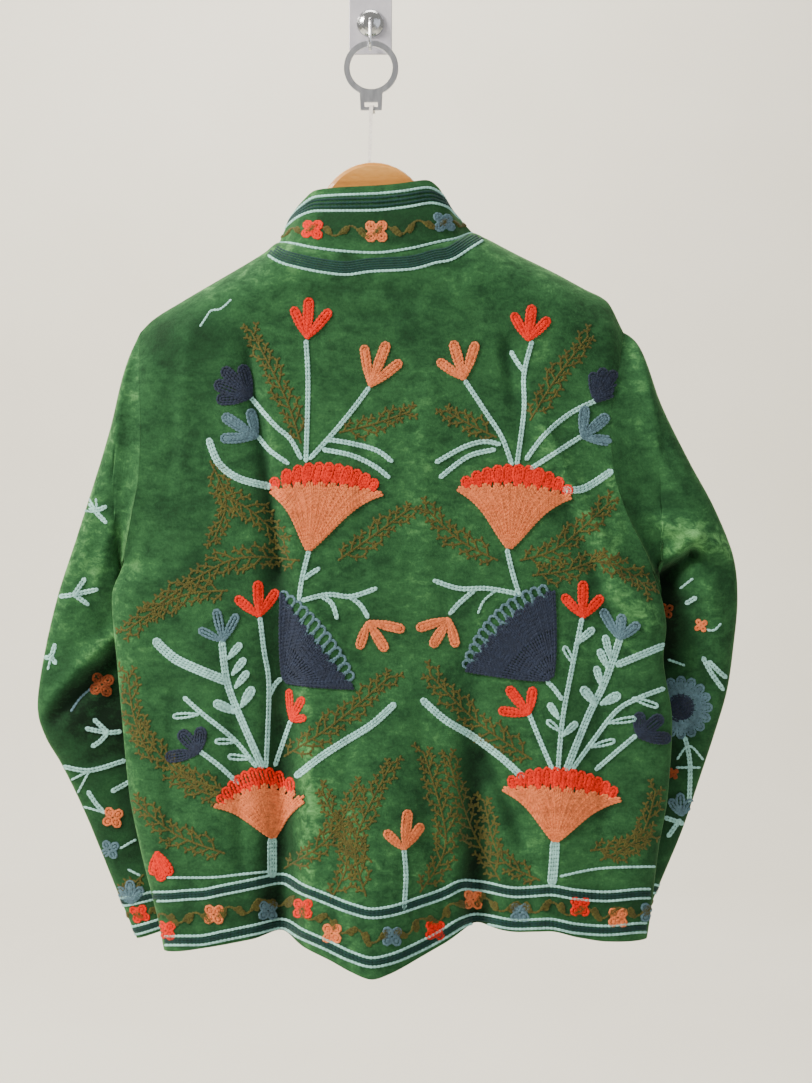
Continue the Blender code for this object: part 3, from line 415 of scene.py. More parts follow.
# Fern sprigs in brown thread: root, a point on the way, tip, needle length
BACK_FERNS = (
    ((-67, -474), (-83, -427), (-117, -361), 13), ((-29, -463), (4, -455), (42, -442), 12),
    ((-159, -523), (-123, -537), (-84, -571), 16), ((-30, -591), (4, -567), (42, -539), 14),
    ((162, -451), (188, -409), (220, -367), 13), ((129, -468), (102, -455), (78, -441), 12),
    ((-140, -621), (-188, -627), (-242, -661), 15), ((-68, -591), (-138, -591), (-218, -641), 15),
    ((130, -591), (92, -571), (58, -539), 14), ((152, -591), (192, -577), (244, -531), 15),
    ((222, -591), (252, -597), (282, -621), 13), ((164, -606), (198, -601), (238, -587), 13),
    ((-216, -793), (-234, -747), (-240, -703), 15), ((-140, -821), (-190, -803), (-228, -759), 14),
    ((-143, -884), (-192, -865), (-234, -831), 15), ((-84, -787), (-32, -753), (22, -707), 15),
    ((-84, -899), (-40, -869), (-8, -817), 12), ((164, -790), (110, -753), (62, -705), 16),
    ((132, -911), (102, -855), (80, -787), 14), ((232, -891), (272, -867), (288, -821), 13),
    ((222, -881), (252, -877), (284, -867), 12), ((172, -911), (132, -887), (116, -831), 12),
    ((-2, -927), (-12, -871), (24, -793), 14), ((4, -893), (-28, -857), (-46, -821), 12),
    ((52, -923), (78, -871), (56, -783), 14), ((-38, -931), (-22, -899), (-24, -861), 12),
    ((-128, -831), (-168, -821), (-198, -791), 12), ((-158, -491), (-142, -531), (-154, -571), 12),
)

# Hem border seen from the room: place across, hem line, and the upper and lower bands' height above it
BORDER = {
    "x": (-215, -204, -172, -143, -113, -86, -67, -40, -17, 4, 21, 50, 76, 96, 108, 149, 179, 208, 237,
          278, 290),
    "z": (-979, -979, -979, -974, -968, -962, -973, -987, -1001, -1009, -1005, -990, -973, -958, -955, -961,
          -961, -967, -970, -967, -967),
    "upper": (52, 52, 54, 54, 54, 53, 54, 57, 62, 65, 63, 57, 49, 43, 39, 38, 40, 42, 43, 43, 43),
    "lower": (8, 8, 8, 8, 8, 8, 9, 11, 14, 16, 15, 12, 9, 6, 6, 6, 7, 8, 9, 9, 9),
}
BAND_WIDE = 9.0
BORDER_SIZE = 11.0
BORDER_FLOWERS = (
    ("red", (-202, -961)), ("coral", (-154, -945)), ("slate", (-100, -941)), ("red", (-65, -939)),
    ("coral", (-36, -964)), ("slate", (24, -967)), ("red", (67, -961)), ("coral", (105, -930)),
    ("slate", (152, -943)), ("red", (212, -937)), ("coral", (250, -948)), ("slate", (282, -943)),
)

# White lines and dark band round the neck, on the back panel below the collar
NECK_LINE = ((-106, -281), (-90, -292), (-65, -299), (-37, -304), (-19, -305), (2, -302), (39, -300),
             (55, -297), (68, -293), (84, -290), (102, -279), (118, -269))

# Cloth detail that the solids leave out. The sleeves' wall side shows their folds more softly and lower down
HIDDEN_FOLDS = 0.5
HIDDEN_SHIFT = 34.0
# The collar swells between its seam and its edge. Its base laps over the neckline and stands proud of it
COLLAR_BULGE = 1.6
COLLAR_LAPS = 1.6
COLLAR_PROUD = 0.8
COLLAR_COLUMNS_APART = 0.02
# How near the end of the neckline a point counts as on it, and how small a flattened normal may get
NECK_SLACK = 0.1
CORNER = 0.05
# Edges that stay sharp, in degrees
CLOTH_SHARP_FROM = 60
STAGE_SHARP_FROM = 40

# Rows of stitches: parts between two points of a route, the links that are kept as shares of their set
# length, and how small a normal may get before its link stands on an edge. Then how far stems stand off the
# cloth, and their thread
CURVE_PARTS = 10
SHORTEST_LINK, LONGEST_LINK = 0.2, 2.6
EDGE_ON = 0.1
STEM_RAISED = -0.2
STEM_THREAD = "pale"

# Petals and leaves: parts of an outline, the power by which an oval is fullest beyond its middle, how far up
# and how roundly a finger opens, and the angle from which its end is round
OVAL_PARTS = 20
OVAL_FULL = 0.95
FINGER_PARTS = 8
FINGER_OPENS = 0.5
FINGER_POWER = 0.8
FINGER_END_FROM = 0.3
# The narrowest row round a petal in widths of a row, and the row down its middle, in long petals only
PETAL_NARROWEST = 0.7
PETAL_SPINE_FROM = 3
PETAL_SPINE_RAISED = 0.2
# Small leaves reach under their stem, and those at least this wide are filled
LEAF_FOOT_LONGER = 2.0
LEAF_FILLED_FROM = 7

# Tulips, with a wider second petal and each petal over the last
TULIP_MIDDLE_WIDER = 1.08
TULIP_PETAL_STEP = 0.25
# Blossoms: petals, the first one's angle, and the open eye and the petals' width as shares of their reach
BLOSSOM_PETALS = 4
BLOSSOM_TURN = 0.75
SLEEVE_BLOSSOM_TURN = 0.6
BLOSSOM_EYE = 0.12
BLOSSOM_FULL = 0.86
# Daisies: a petal's width against its share of the reach, where petals start in the heart, and its spiral
DAISY_PETAL_SHARE = 4.9
DAISY_PETAL_START = 0.8
DAISY_HEART_PARTS = 120
DAISY_HEART_RAISED = 0.5

# Fans: rows start at these shares of the cup's height, every other row at the first, every fourth at the next
# and so on. They spread by a power of the height, mixed with a higher one that bends them out like ears
FAN_STARTS = (0.58, 0.28, 0.13, 0.06, 0.02)
FAN_PARTS = 12
FAN_EDGE_STEPS = 60
FAN_BODY_POWER = 0.85
FAN_EARS = 0.3
FAN_EARS_POWER = 5.0
FAN_LOBES = 10
FAN_LOBE_HIGH = 5.0
FAN_RAISED = 0.8
FAN_RIDGE = 0.35
FAN_RIDGE_EVERY = 4
# The petals on a fan's rim: how full their crown is, how far they lean out, their width or that of open loops
# against their share of the rim, how far they start below the cup's edge, and each second one over the others
FAN_RIM_POWER = 0.7
FAN_LEAN = 0.1
FAN_PETAL_SHARE = 1.14
FAN_LOOP_SHARE = 1.25
FAN_RIM_SUNK = 4.0
FAN_PETAL_STEP = 0.35

# Ferns: the thread, which vines share, the distance between twigs on one side, their angle and forks, and how
# twigs get shorter towards the tip and longer above the root. Lengths and angles are uneven, by a stride,
# a count and two shares between which they jump
FERN_THREAD = "olive"
FERN_STEP = 11.0
FERN_ANGLE = 52.0
FERN_FORK = 4.0
FERN_ROOT_LONG, FERN_SHORTER = 1.35, 0.7
FERN_FIRST, FERN_GROWS = 0.5, 2.2
FERN_LENGTHS = (7, 5, 0.75, 1.25)
FERN_ANGLES = (3, 4, 0.8, 1.2)
FERN_BEND = 0.55
FERN_TWIG_PARTS = 4
FERN_ELBOW_LEANS = (1.9, -0.2)
FERN_END_LEANS = (1.4, -0.4)

# Borders: parts of a hem's routes, and the vine's waves and leaves, whose lengths are uneven like the ferns'
BORDER_PARTS = 240
VINE_HIGH = 5.0
VINE_LONG = 34.0
VINE_LEAF = 11.0
VINE_STEP = 2.0
VINE_LEAVES = 4
VINE_LEAF_LENGTHS = (5, 7, 0.8, 1.2)
VINE_LEAF_OUT = 0.75
VINE_LEAF_AHEAD = (-0.4, 0.9)
VINE_LEAF_WIDE = 0.5
FLOWER_THREADS = ("red", "coral", "slate")

# Dark rows below the collar
NECK_PARTS = 4
NECK_ROWS = 5
NECK_ROWS_APART = 2.4
NECK_FIRST_ROW = 1.2

# Collar: heights of its rows and its vine, and places of its flowers, as shares of its height and length
COLLAR_PARTS = 200
COLLAR_END = 1.5
COLLAR_WHITE = (0.05, 0.64, 0.88)
COLLAR_DARK = (0.70, 0.76, 0.82)
COLLAR_VINE = 0.34
COLLAR_VINE_HIGH = 6.0
COLLAR_FLOWERS = (("coral", 0.07), ("slate", 0.215), ("red", 0.36), ("coral", 0.495), ("slate", 0.64),
                  ("red", 0.785), ("coral", 0.93))
COLLAR_FLOWER_SIZE = 13.0

# Cuffs: the ring that gives their length round, heights of the two bands, and a border on a smaller scale
CUFF_RINGS = 12
CUFF_PARTS = 160
CUFF_BANDS = (9.0, 42.0)
CUFF_FLOWERS = 6
CUFF_SHARE = 0.8

# How motifs are moved: 1, or -1 where left and right change sides, then a shift across and up
AS_LAID = (1, 0.0, 0.0)
SLEEVE_WALL_SIDE = {"left": (1, 8.0, -22.0), "right": (1, -8.0, -22.0)}

# Sleeves as seen from the room
SLEEVE_STEMS = {
    "left": (
        (2, ((-283, -523), (-274, -540), (-262, -553))),
        (2, ((-283, -540), (-272, -541), (-262, -537))),
        (1, ((-272, -529), (-271, -541))),
        (2, ((-308, -627), (-294, -625), (-271, -620))),
        (2, ((-294, -625), (-283, -609))),
        (2, ((-294, -625), (-280, -635))),
        (2, ((-323, -688), (-317, -687), (-313, -675))),
        (2, ((-317, -687), (-312, -694))),
        (1, ((-317, -687), (-320, -700))),
        (1, ((-277, -719), (-288, -729), (-297, -742)), "slate"),
        (2, ((-282, -759), (-260, -763), (-247, -762))),
        (2, ((-274, -750), (-260, -763))),
        (2, ((-276, -777), (-268, -772), (-260, -763))),
        (2, ((-243, -791), (-278, -801), (-304, -797))),
        (1, ((-278, -801), (-300, -812))),
        (1, ((-279, -802), (-290, -823))),
        (2, ((-238, -812), (-256, -822))),
        (2, ((-280, -822), (-272, -834), (-264, -843))),
        (1, ((-288, -836), (-264, -843))),
        (1, ((-248, -879), (-232, -870))),
        (1, ((-240, -900), (-228, -906))),
    ),
    "right": (
        (1, ((312, -619), (325, -609))),
        (2, ((318, -634), (328, -628))),
        (1, ((339, -660), (346, -661), (353, -654))),
        (1, ((300, -690), (317, -696))),
        (2, ((335, -688), (343, -703), (355, -720))),
        (2, ((341, -692), (352, -703), (358, -708))),
        (2, ((317, -768), (322, -794), (321, -832))),
        (1, ((309, -790), (321, -776), (335, -790))),
        (1, ((308, -798), (332, -798))),
        (2, ((297, -848), (315, -854))),
        (2, ((300, -867), (312, -850))),
    ),
}
SLEEVE_TULIPS = {
    "left": (("slate", (-237, -934), ((-250, -918), (-238, -911), (-226, -918)), 9),),
    "right": (("slate", (313, -846), ((302, -830), (312, -824), (323, -830)), 8),),
}
SLEEVE_BLOSSOMS = {
    # Blossoms in the sleeves' dark hollows take the coral painted darker as shade
    "left": (("shaded_coral", (-266, -715), 13), ("coral", (-255, -848), 11), ("slate", (-258, -880), 10)),
    "right": (("coral", (333, -656), 7), ("shaded_coral", (298, -641), 8), ("shaded_coral", (305, -804), 6)),
}
SLEEVE_DAISIES = {
    "left": (),
    "right": (("slate", "navy", (313, -738), 31.0, 14.0, 16),),
}
SLEEVE_FERNS = {
    "left": (((-224, -905), (-236, -915), (-250, -923), 7),),
    "right": (((262, -905), (272, -890), (284, -868), 7),),
}
SLEEVE_MOTIFS = {
    side: {"stems": SLEEVE_STEMS[side], "tulips": SLEEVE_TULIPS[side], "blossoms": SLEEVE_BLOSSOMS[side],
           "daisies": SLEEVE_DAISIES[side], "ferns": SLEEVE_FERNS[side]}
    for side in ("left", "right")
}

# Fronts, whose embroidery the photo hides: places across from the centre front, and heights
FRONT_REACH = 285.0
FRONT_BANDS = (12.0, 50.0)
FRONT_FLOWERS = 6
FRONT_STEMS = (
    (2, ((120, -598), (123, -640), (118, -688))),
    (2, ((120, -500), (112, -450), (118, -410))),
    (2, ((126, -500), (150, -470), (164, -440))),
    (2, ((112, -500), (84, -480), (62, -456))),
    (3, ((122, -858), (121, -884), (124, -906))),
    (2, ((126, -766), (148, -712), (156, -660))),
    (2, ((118, -766), (90, -714), (76, -668))),
)
FRONT_TULIPS = (
    ("red", (118, -408), ((104, -384), (118, -374), (134, -386)), 9),
    ("coral", (164, -438), ((156, -410), (174, -408), (184, -424)), 9),
    ("navy", (62, -455), ((44, -448), (48, -430), (66, -428)), 12),
    ("coral", (156, -658), ((142, -632), (158, -626), (172, -640)), 9),
    ("red", (76, -666), ((62, -642), (78, -636), (92, -648)), 9),
)
FRONT_FANS = (
    ("coral", "red", (120, -600), (68, -542), (172, -542), 9, 30, 12, False, 0.05, 0.95, 0.5),
    ("navy", "slate", (122, -860), (76, -792), (168, -792), 9, 25, 9, True, 0.04, 0.96, 0.5),
)
FRONT_FERNS = (
    ((92, -600), (60, -560), (30, -500), 14), ((150, -600), (184, -560), (206, -500), 14),
    ((90, -870), (56, -820), (34, -750), 14), ((156, -870), (190, -820), (206, -740), 14),
    ((134, -500), (160, -520), (196, -470), 12),
)

# Chain-stitch links, as stations along each: place, half width, height of its strands, height between them
LINK_STATIONS = {
    "full": (
        (-0.56, 0.16, 0.50, 0.42),
        (-0.22, 0.46, 0.92, 0.36),
        (0.20, 0.50, 1.00, 0.40),
        (0.56, 0.24, 0.62, 0.55),
    ),
    "fine": (
        (-0.56, 0.22, 0.50, 0.42),
        (0.05, 0.50, 1.00, 0.40),
        (0.56, 0.24, 0.62, 0.55),
    ),
}
LINK_SINK = -0.25
LINK_CREST = 0.58

# Inputs of the tree that sets the links, with their kinds
TREE_INPUTS = {"Geometry": "Geometry", "Link": "Object", "Thread": "Material", "Row width": "Float",
               "Row height": "Float"}

# Stage
FLOOR_Z = -1.62
WALL_Y = 4.2
STAGE_HALF = 9.0
STAGE_NEAR = -6.0
STAGE_HIGH = 6.0
STAGE_ROUND = 1.4
STAGE_PARTS = 14

# Velvet from its darkest to its lightest, nap and painted light and shade together, as places on the noise
# and sRGB hex
VELVET_RAMP = ((0.02, "071C10"), (0.34, "1B3F25"), (0.60, "2D5935"), (1.0, "5D9659"))
VELVET_SHEEN = "8FC486"

# Each thread from darker to lighter, as places on the noise and shares of its own colour
THREAD_SHADES = ((0.30, 0.70), (0.5, 1.0), (0.70, 1.22))

# Finishes of the hardware and the wall, from darker to lighter, as places on the noise and sRGB hex
BEECH_RAMP = ((0.3, "AC6A22"), (0.5, "CE8A35"), (0.7, "DCA255"))
CHROME_RAMP = ((0.35, "B9BCC0"), (0.65, "CDD0D3"))
STEEL_RAMP = ((0.35, "B8BCC4"), (0.65, "D0D4DA"))
PLASTIC_RAMP = ((0.35, "BCBCC8"), (0.65, "CACAD4"))
TAPE_RAMP = ((0.35, "E4E0D8"), (0.65, "F8F6F1"))
PAINT_RAMP = ((0.3, "EBE8DC"), (0.7, "F1EFE4"))

# How rough chrome and brushed steel are, from least to most
CHROME_ROUGH = (0.10, 0.20)
STEEL_ROUGH = (0.30, 0.42)

# Painted light and shade in the velvet's colour: how much lighter it is painted where the cloth faces left
# or up, towards the window light, and where it faces neither room nor wall, a painted sheen at its turned
# edges; and soft lighter and darker patches, partly painted shade under the elbows and in hollows beside the
# body, a painted highlight on the right sleeve, and partly brushed nap, as centre x and z, half width, half
# height and amount
PAINTED_LIGHT_LEFT = 0.30
PAINTED_LIGHT_UP = 0.25
PAINTED_SHEEN_TURNED = 0.30
NAP_LIGHT_AND_SHADE_PATCHES = {
    "back": (
        (10, -330, 150, 40, -0.10), (30, -900, 90, 60, 0.18), (-60, -830, 30, 80, 0.22),
        (-200, -355, 55, 40, -0.75), (-180, -560, 50, 60, -0.16), (200, -500, 40, 70, 0.12),
        (25, -480, 60, 50, 0.12), (240, -800, 40, 90, -0.12), (-200, -860, 50, 60, -0.10),
        (250, -680, 40, 40, 0.18), (-200, -440, 50, 50, -0.25), (-150, -946, 110, 16, -0.4),
        (210, -940, 100, 16, -0.4), (-190, -700, 60, 110, -0.14),
    ),
    "sleeve_left": ((-285, -752, 55, 42, -1.1), (-250, -870, 80, 80, -0.65), (-300, -560, 30, 80, 0.15),
                    (-230, -640, 22, 60, -0.35)),
    "sleeve_right": ((302, -650, 26, 50, -1.3), (300, -780, 36, 90, -0.70), (340, -570, 34, 26, 0.25),
                     (300, -880, 60, 40, -0.35)),
    "front_left": (),
    "front_right": (),
    "collar": ((-40, -245, 90, 22, -0.45), (60, -240, 70, 22, -0.45)),
}
FOLDS_OF = {
    "back": BACK_FOLDS + BACK_CREASES,
    "sleeve_left": SLEEVE_FOLDS["left"],
    "sleeve_right": SLEEVE_FOLDS["right"],
    "front_left": FRONT_FOLDS + FRONT_CREASES,
    "front_right": FRONT_FOLDS + FRONT_CREASES,
    "collar": (),
}
# How much the painted light and shade and the nap patches count, how much darker the hollows of narrow
# folds are painted as shade and lighter their ridges, how streaks and pile are mixed, and what noise and
# streaks are stretched from and to
NAP_AND_LIGHT_SHARE = 0.45
PAINTED_CREASE_SHADE = 0.06
CREASE_SHADE_WIDEST = 20.0
CREASE_SHADE_LIMITS = (-7.0, 14.0)
NAP_STREAKS = 0.50
NAP_PILE = 0.18
NAP_FROM = (0.22, 0.80)
COMBED_FROM = (0.3, 0.7)
COMBED_TO = (0.35, 1.5)
CRUSH_PILE = 0.25

# Links in one joined piece of stitches, at most
MOST_LINKS = 8200

# Lights: name, place, aim, size, power, tint
LIGHTS = (
    ("window", (-2.8, -1.8, 1.7), (0.0, 0.0, -0.6), 1.4, 310.0, "FFF6EA"),
    ("room", (2.6, -3.2, 0.6), (0.0, 0.0, -0.6), 3.0, 30.0, "F3F6FF"),
    ("wall wash", (-0.6, 1.2, 3.2), (0.0, 4.2, -0.4), 3.4, 300.0, "FFF9F0"),
)
WORLD_TINT = "F4EFE6"
WORLD_LIGHT = 0.46


def at(table, column, key, value):
    """A column of a table read at any values of its key column, as a smooth curve with no overshoot."""
    xs, ys = (np.array(table[name], float) for name in (key, column))
    if xs[0] > xs[-1]:
        xs, ys = xs[::-1], ys[::-1]
    slopes = np.diff(ys) / np.diff(xs)
    ends = np.concatenate([slopes[:1], np.zeros(len(xs) - 2), slopes[-1:]])
    same_way = slopes[:-1] * slopes[1:] > 0
    flat = np.where(same_way, slopes[:-1] + slopes[1:], 1.0)
    ends[1:-1] = np.where(same_way, 2 * slopes[:-1] * slopes[1:] / flat, 0.0)
    value = np.clip(value, xs[0], xs[-1])
    i = np.clip(np.searchsorted(xs, value) - 1, 0, len(xs) - 2)
    width = xs[i + 1] - xs[i]
    t = (value - xs[i]) / width
    return (
        (1 + 2 * t) * (1 - t) ** 2 * ys[i]
        + t * (1 - t) ** 2 * width * ends[i]
        + t * t * (3 - 2 * t) * ys[i + 1]
        + t * t * (t - 1) * width * ends[i + 1]
    )


def smooth(value, low, high):
    """0 below low, 1 above high, and an S curve between."""
    t = np.clip((value - low) / (high - low), 0.0, 1.0)
    return t * t * (3 - 2 * t)


def quarter_round(distance, radius):
    """Height of a quarter circle of unit height, that distance in from its foot."""
    left = np.clip(1 - distance / radius, 0.0, 1.0)
    return np.sqrt(1 - left * left)


def fold_depth(folds, x, z):
    """Sum of the folds at each point: each is a soft trough or ridge along its route."""
    total = np.zeros(np.shape(x))
    for half_width, first, last, route in folds:
        spans = [math.dist(a, b) for a, b in zip(route, route[1:])]
        nearest, along, walked = np.full(np.shape(x), np.inf), np.zeros(np.shape(x)), 0.0
        for (ax, az), (bx, bz), span in zip(route, route[1:], spans):
            t = np.clip(((x - ax) * (bx - ax) + (z - az) * (bz - az)) / span**2, 0.0, 1.0)
            away = np.hypot(x - ax - t * (bx - ax), z - az - t * (bz - az))
            closer = away < nearest
            along = np.where(closer, (walked + t * span) / sum(spans), along)
            nearest = np.where(closer, away, nearest)
            walked += span
        total += (first + (last - first) * along) * np.exp(-((nearest / half_width) ** 2))
    return total


def finer(values, steps):
    """A list of numbers with that many even steps between each two."""
    places = np.linspace(0, len(values) - 1, (len(values) - 1) * steps + 1)
    return np.interp(places, np.arange(len(values)), values)


def armhole_share(side, z):
    """0 at the shoulder tip and the armpit, 1 half way down the armhole."""
    tip = EDGES["z"][0]
    down = np.clip((tip - z) / (tip - ARMPIT_Z[side]), 0.0, 1.0)
    return np.sqrt(np.clip(1 - (2 * down - 1) ** 2, 0.0, 1.0))


def edge_depth(side, z, face):
    """Depth of the panel's side edge: on the side seam, or off it along the armhole."""
    off = {"back": -ARMHOLE_BACK, "front": ARMHOLE_FRONT}[face]
    return at(SEAM_DEPTH, "y", "z", z) + off * armhole_share(side, z)


def row_z(row, top, armpit, hem):
    """Height of the rows. A row is named by its share of the armhole and then of the side seam."""
    in_armhole, in_side = row
    return np.where(in_side > 0, armpit + (hem - armpit) * in_side, top + (armpit - top) * in_armhole)


def side_turn(side, z, inset, round_below):
    """0 on the panel's side edge and 1 where the panel has turned flat."""
    closed = quarter_round(inset, round_below)
    opened = smooth(inset, -ARMHOLE_ROUND, ARMHOLE_ROUND) * 2 - 1
    share = smooth(z, ARMPIT_Z[side] - ARMPIT_BLEND, ARMPIT_Z[side] + ARMPIT_BLEND)
    return closed + (opened - closed) * share


def edge_z(side, row):
    """Height at which a row meets the panel's side edge."""
    return row_z(row, EDGES["z"][0], ARMPIT_Z[side], EDGES["z"][-1])


def back_points(across, row):
    """Outer points of the back panel. across runs from the left edge, 0, to the right edge, 1."""
    armpit = ARMPIT_Z["left"] + (ARMPIT_Z["right"] - ARMPIT_Z["left"]) * across
    top_x = EDGES["left"][0] + (EDGES["right"][0] - EDGES["left"][0]) * across
    hem_x = EDGES["left"][-1] + (EDGES["right"][-1] - EDGES["left"][-1]) * across
    top_z = at(BACK_TOP, "z", "x", top_x)
    z = row_z(row, top_z, armpit, at(BACK_HEM, "z", "x", hem_x))
    left, right = at(EDGES, "left", "z", z), at(EDGES, "right", "z", z)
    x = left + (right - left) * across
    flat = BACK_Y - BACK_CROWN * (1 - ((x - CENTRE_X) / CROWN_HALF_WIDTH) ** 2)
    flat = flat + fold_depth(BACK_FOLDS + BACK_CREASES, x, z)
    y = np.zeros(np.shape(x))
    for side, inset, here in (("left", x - left, across < 0.5), ("right", right - x, across >= 0.5)):
        turned = side_turn(side, edge_z(side, row), inset, BACK_SIDE_ROUND)
        y = np.where(here, edge_depth(side, edge_z(side, row), "back") * (1 - turned) + flat * turned, y)
    top_y = at(BACK_TOP, "y", "x", top_x)
    y = top_y + (y - top_y) * quarter_round(top_z - z, BACK_SHOULDER_ROUND) - SEAM_GAP / 2
    return np.stack([x, y, z], axis=-1)


def front_points(side, across, row):
    """Outer points of a front panel. across runs from the side seam, 0, to the centre front, 1."""
    facing = {"left": -1, "right": 1}[side]
    middle = CENTRE_X + facing * FRONT_GAP / 2
    tip_x, hem_x = EDGES[side][0], EDGES[side][-1]
    top_x = tip_x + (middle - tip_x) * across
    neck_x = FRONT_NECK["x"][0 if side == "left" else -1]
    in_neck = np.abs(top_x - CENTRE_X) < abs(neck_x - CENTRE_X)
    top_z = np.where(in_neck, at(FRONT_NECK, "z", "x", top_x), at(BACK_TOP, "z", "x", top_x))
    top_y = np.where(in_neck, at(FRONT_NECK, "y", "x", top_x), at(BACK_TOP, "y", "x", top_x))
    hem_z = at(FRONT_HEM, "z", "x", hem_x + (middle - hem_x) * across)
    z = row_z(row, top_z, ARMPIT_Z[side], hem_z)
    outside = at(EDGES, side, "z", z)
    x = outside + (middle - outside) * across
    reach = FRONT_CENTRE_HALF_WIDTH
    towards_centre = 1 - smooth(np.abs(x - CENTRE_X), reach / 2, 2 * reach)
    beside, between = (at(FRONT_STAND_OFF, column, "z", z) for column in ("side", "middle"))
    flat = beside + (between - beside) * towards_centre + fold_depth(FRONT_FOLDS + FRONT_CREASES, x, z)
    turned = side_turn(side, edge_z(side, row), np.abs(x - outside), FRONT_SIDE_ROUND)
    y = edge_depth(side, edge_z(side, row), "front") * (1 - turned) + flat * turned
    y = top_y + (y - top_y) * quarter_round(top_z - z, FRONT_SHOULDER_ROUND) + SEAM_GAP / 2
    return np.stack([x, y, z], axis=-1)


def columns_through(stops):
    """Shares across a panel. Each stop is a share and the number of even steps that lead up to it."""
    shares = [0.0]
    for share, steps in stops:
        before = shares[-1]
        shares += [before + (share - before) * (i + 1) / steps for i in range(steps)]
    return shares


def back_columns():
    """Close together at the side seams, with a column on each shoulder's neck point."""
    left, right = EDGES["left"][0], EDGES["right"][0]
    necks = [(FRONT_NECK["x"][end] - left) / (right - left) for end in (0, -1)]
    turning = [(share, 1) for share in EDGE_SHARES]
    closing = [(1 - share, 1) for share in reversed(EDGE_SHARES[:-1])] + [(1.0, 1)]
    left_shoulder, neck = (necks[0], BACK_SHOULDER_STEPS), (necks[1], BACK_NECK_STEPS)
    right_shoulder = (1 - EDGE_SHARES[-1], BACK_SHOULDER_STEPS)
    return columns_through(turning + [left_shoulder, neck, right_shoulder] + closing)


def front_columns(side):
    """Close together at the side seam, with a column on the shoulder's neck point."""
    tip = EDGES[side][0]
    neck_x = FRONT_NECK["x"][0 if side == "left" else -1]
    neck = (neck_x - tip) / (CENTRE_X - math.copysign(FRONT_GAP / 2, CENTRE_X - tip) - tip)
    turning = [(2 * share, 1) for share in EDGE_SHARES]
    inside = [(neck + (1 - neck) * share, 1) for share in FRONT_NECK_SHARES]
    return columns_through(turning + [(neck, FRONT_SHOULDER_STEPS)] + inside)


def panel(points_of, columns, steps):
    """A panel's points as an array of rows by columns by x, y, z."""
    row_steps, column_steps = steps
    down = np.arange(1, ROWS_BELOW_ARMPIT + 1) / ROWS_BELOW_ARMPIT
    below = np.concatenate([np.zeros(len(ARMHOLE_ROWS)), down])
    shares = np.concatenate([ARMHOLE_ROWS, np.ones(ROWS_BELOW_ARMPIT)])
    row = (finer(shares, row_steps)[:, None], finer(below, row_steps)[:, None])
    return points_of(finer(columns, column_steps)[None, :], row)


def through(loops, count):
    """That many loops read from a smooth curve through each of the given loops."""
    made, last = [], len(loops) - 1
    for k in range(count):
        place = last * k / (count - 1)
        i = min(int(place), last - 1)
        t = place - i
        a, b, c, d = (loops[min(max(i + step, 0), last)] for step in (-1, 0, 1, 2))
        made.append(
            0.5 * (2 * b + (c - a) * t + (2 * a - 5 * b + 4 * c - d) * t**2 + (3 * b - a - 3 * c + d) * t**3)
        )
    return np.array(made)


def sleeve_loop(section, steps):
    """One closed section of a sleeve: a flattened, slightly egg-shaped round from outer to inner edge."""
    named = dict(zip(SLEEVE_COLUMNS, section))
    outer, inner = (np.array([named[f"{edge}_{axis}"] for axis in "xyz"], float) for edge in ("out", "in"))
    turn = 2 * math.pi * np.arange(steps)[:, None] / steps
    fuller = 1 + SLEEVE_FULLNESS * np.cos(turn)
    belly = np.array([[0, named["belly"], 0]]) * np.sin(turn) * fuller
    return (outer + inner) / 2 + (outer - inner) / 2 * np.cos(turn) - belly


def armhole_loop(side, panels, values):
    """Points or normals round an armhole: down the back's edge from the shoulder, up the front's edge."""
    back, front = panels["back"], panels[f"front_{side}"]
    behind = back[values][: back["armhole_rows"], 0 if side == "left" else -1]
    ahead = front[values][: front["armhole_rows"], 0]
    return np.concatenate([behind, ahead[-2:0:-1]])


def sleeve_points(side, panels):
    """Outer points of a sleeve, ring by ring. Its first ring follows the armhole edges of back and front."""
    facing = {"left": -1, "right": 1}[side]
    armhole = armhole_loop(side, panels, "points")
    for shared in (0, panels["back"]["armhole_rows"] - 1):
        armhole[shared, 1] += SEAM_GAP / 2
    armhole[:, 0] += facing * ARMHOLE_GAP
    loops = [armhole] + [sleeve_loop(row, len(armhole)) for row in SLEEVE_SECTIONS[side]]
    rings = through(loops, (SLEEVE_RINGS - 1) * FINER_SLEEVE + 1)
    place = np.arange(len(rings))[:, None] / FINER_SLEEVE
    turn = 2 * math.pi * np.arange(len(armhole))[None, :] / len(armhole)
    grown = np.clip(place / SLEEVE_FOLDS_FROM_RING, 0, 1)
    seen, hidden = np.clip(np.sin(turn), 0, 1) * grown, np.clip(-np.sin(turn), 0, 1) * grown
    x, z = rings[..., 0], rings[..., 2]
    rings[..., 1] += fold_depth(SLEEVE_FOLDS[side], x, z) * seen
    rings[..., 1] -= HIDDEN_FOLDS * fold_depth(SLEEVE_FOLDS[side], x, z + HIDDEN_SHIFT) * hidden
    for _ in range(EASED_TIMES):
        between = (rings[: EASED_RINGS - 1] + rings[2 : EASED_RINGS + 1]) / 2
        rings[1:EASED_RINGS] = (rings[1:EASED_RINGS] + between) / 2
    return rings


